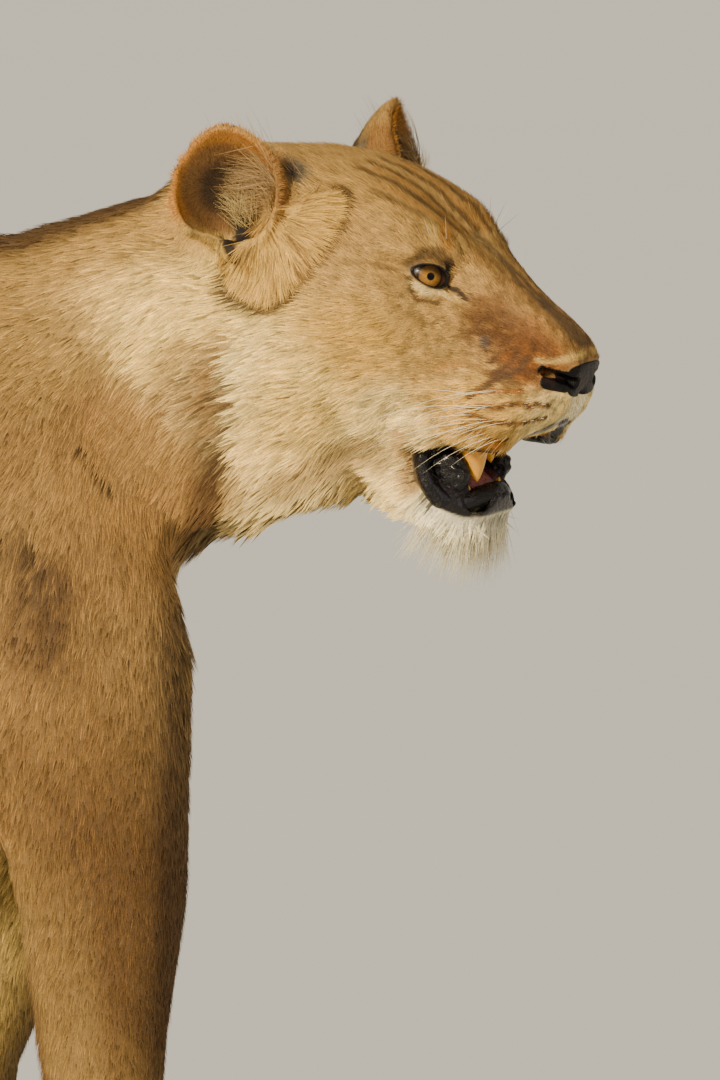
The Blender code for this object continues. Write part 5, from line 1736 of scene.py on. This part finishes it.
def build_lioness():
    rng = np.random.default_rng(11)
    skin = build_skin()
    unwrap_skin(skin)
    draw_face_lines(places_of(skin.data), [row[0] for row in [*FACE_MARKS, *WHISKER_ROWS]])
    fields = coat_fields(skin.data)
    tint = coat_colours(fields["points"], fields["normals"], fields["base"] * 0.92)
    tint = bare_colours(fields["points"], tint, fields["mouth"], fields["leather"], fields["lids"])
    paint(skin.data, "tint", tint)
    paint(skin.data, "bare", fields["wet"])
    tree = tree_of(skin.data)
    dressed(skin, skin_finish())
    hair = coat_finish()
    for name, mesh in tuft_meshes(skin, fields, rng):
        piece = dressed(add_object(name, mesh), hair)
        piece.visible_shadow = False          # hair lets light through, and the skin casts the same shadow
    whisker_hair, wet_eye, wet_black, enamel = whisker_finish(), eye_finish(), lip_finish(), tooth_finish()
    for piece in (whisker_rows(tree, rng), strands_of_the_ears(tree, rng), beard(tree, rng)):
        dressed(piece, whisker_hair)
    for side, eye in ((-1, "eye_right"), (1, "eye_left")):
        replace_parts(dressed(globe(side), wet_eye), eye)
    dressed(nose_leather(skin), leather_finish())
    dressed(lower_lip(), wet_black)
    dressed(inner_cheeks(), wet_black)
    for jaw in TEETH:
        dressed(tooth_row(jaw), enamel)
    tongue = rounded_off("tongue_flesh", frame["nodes"]["tongue"].data)
    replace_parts(dressed(tongue, flesh_finish()), "tongue")
    dressed(claws(tree), horn_finish())
    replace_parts(skin, *(name for name in frame["nodes"] if name not in ("eye_right", "eye_left", "tongue")))


# ---------------------------------------------------------------- the studio
def sun(name, azimuth, elevation, strength, colour, width):
    """A soft distant light. Azimuth 0 shines along +Y, 90 from the head's side."""
    lamp = bpy.data.lights.new(name, "SUN")
    lamp.energy, lamp.color, lamp.angle = strength, colour, math.radians(width)
    light = add_object(name, lamp)
    a, e = math.radians(azimuth), math.radians(elevation)
    back = Vector((math.sin(a) * math.cos(e), -math.cos(a) * math.cos(e), math.sin(e)))
    light.rotation_euler = back.to_track_quat("Z", "Y").to_euler()


def studio():
    shape = bmesh.new()
    bmesh.ops.create_grid(shape, x_segments=8, y_segments=8, size=90)
    floor = add_object("floor", mesh_of(shape, "floor"))
    floor.data.materials.append(floor_finish())
    sun("key", -42, 26, 4.9, (1.0, 0.88, 0.66), 9)
    sun("fill", 40, 25, 0.4, (0.92, 0.94, 1.0), 40)
    world = bpy.data.worlds.new("studio")
    bpy.context.scene.world = world
    world.use_nodes = True
    background = world.node_tree.nodes["Background"]
    background.inputs["Color"].default_value = (0.93, 0.87, 0.74, 1.0)
    background.inputs["Strength"].default_value = 0.38


def camera():
    lens = bpy.data.cameras.new("camera")
    lens.sensor_width, lens.lens = SENSOR, SENSOR * CAMERA_DISTANCE / FRAME_HEIGHT
    lens.clip_start, lens.clip_end = 0.1, 300.0
    eye = add_object("camera", lens)
    back = Vector((0.0, -math.cos(CAMERA_ELEVATION), math.sin(CAMERA_ELEVATION)))
    eye.location = CAMERA_TARGET + back * CAMERA_DISTANCE
    eye.rotation_euler = (-back).to_track_quat("-Z", "Y").to_euler()
    bpy.context.scene.camera = eye


build_lioness()
studio()
camera()
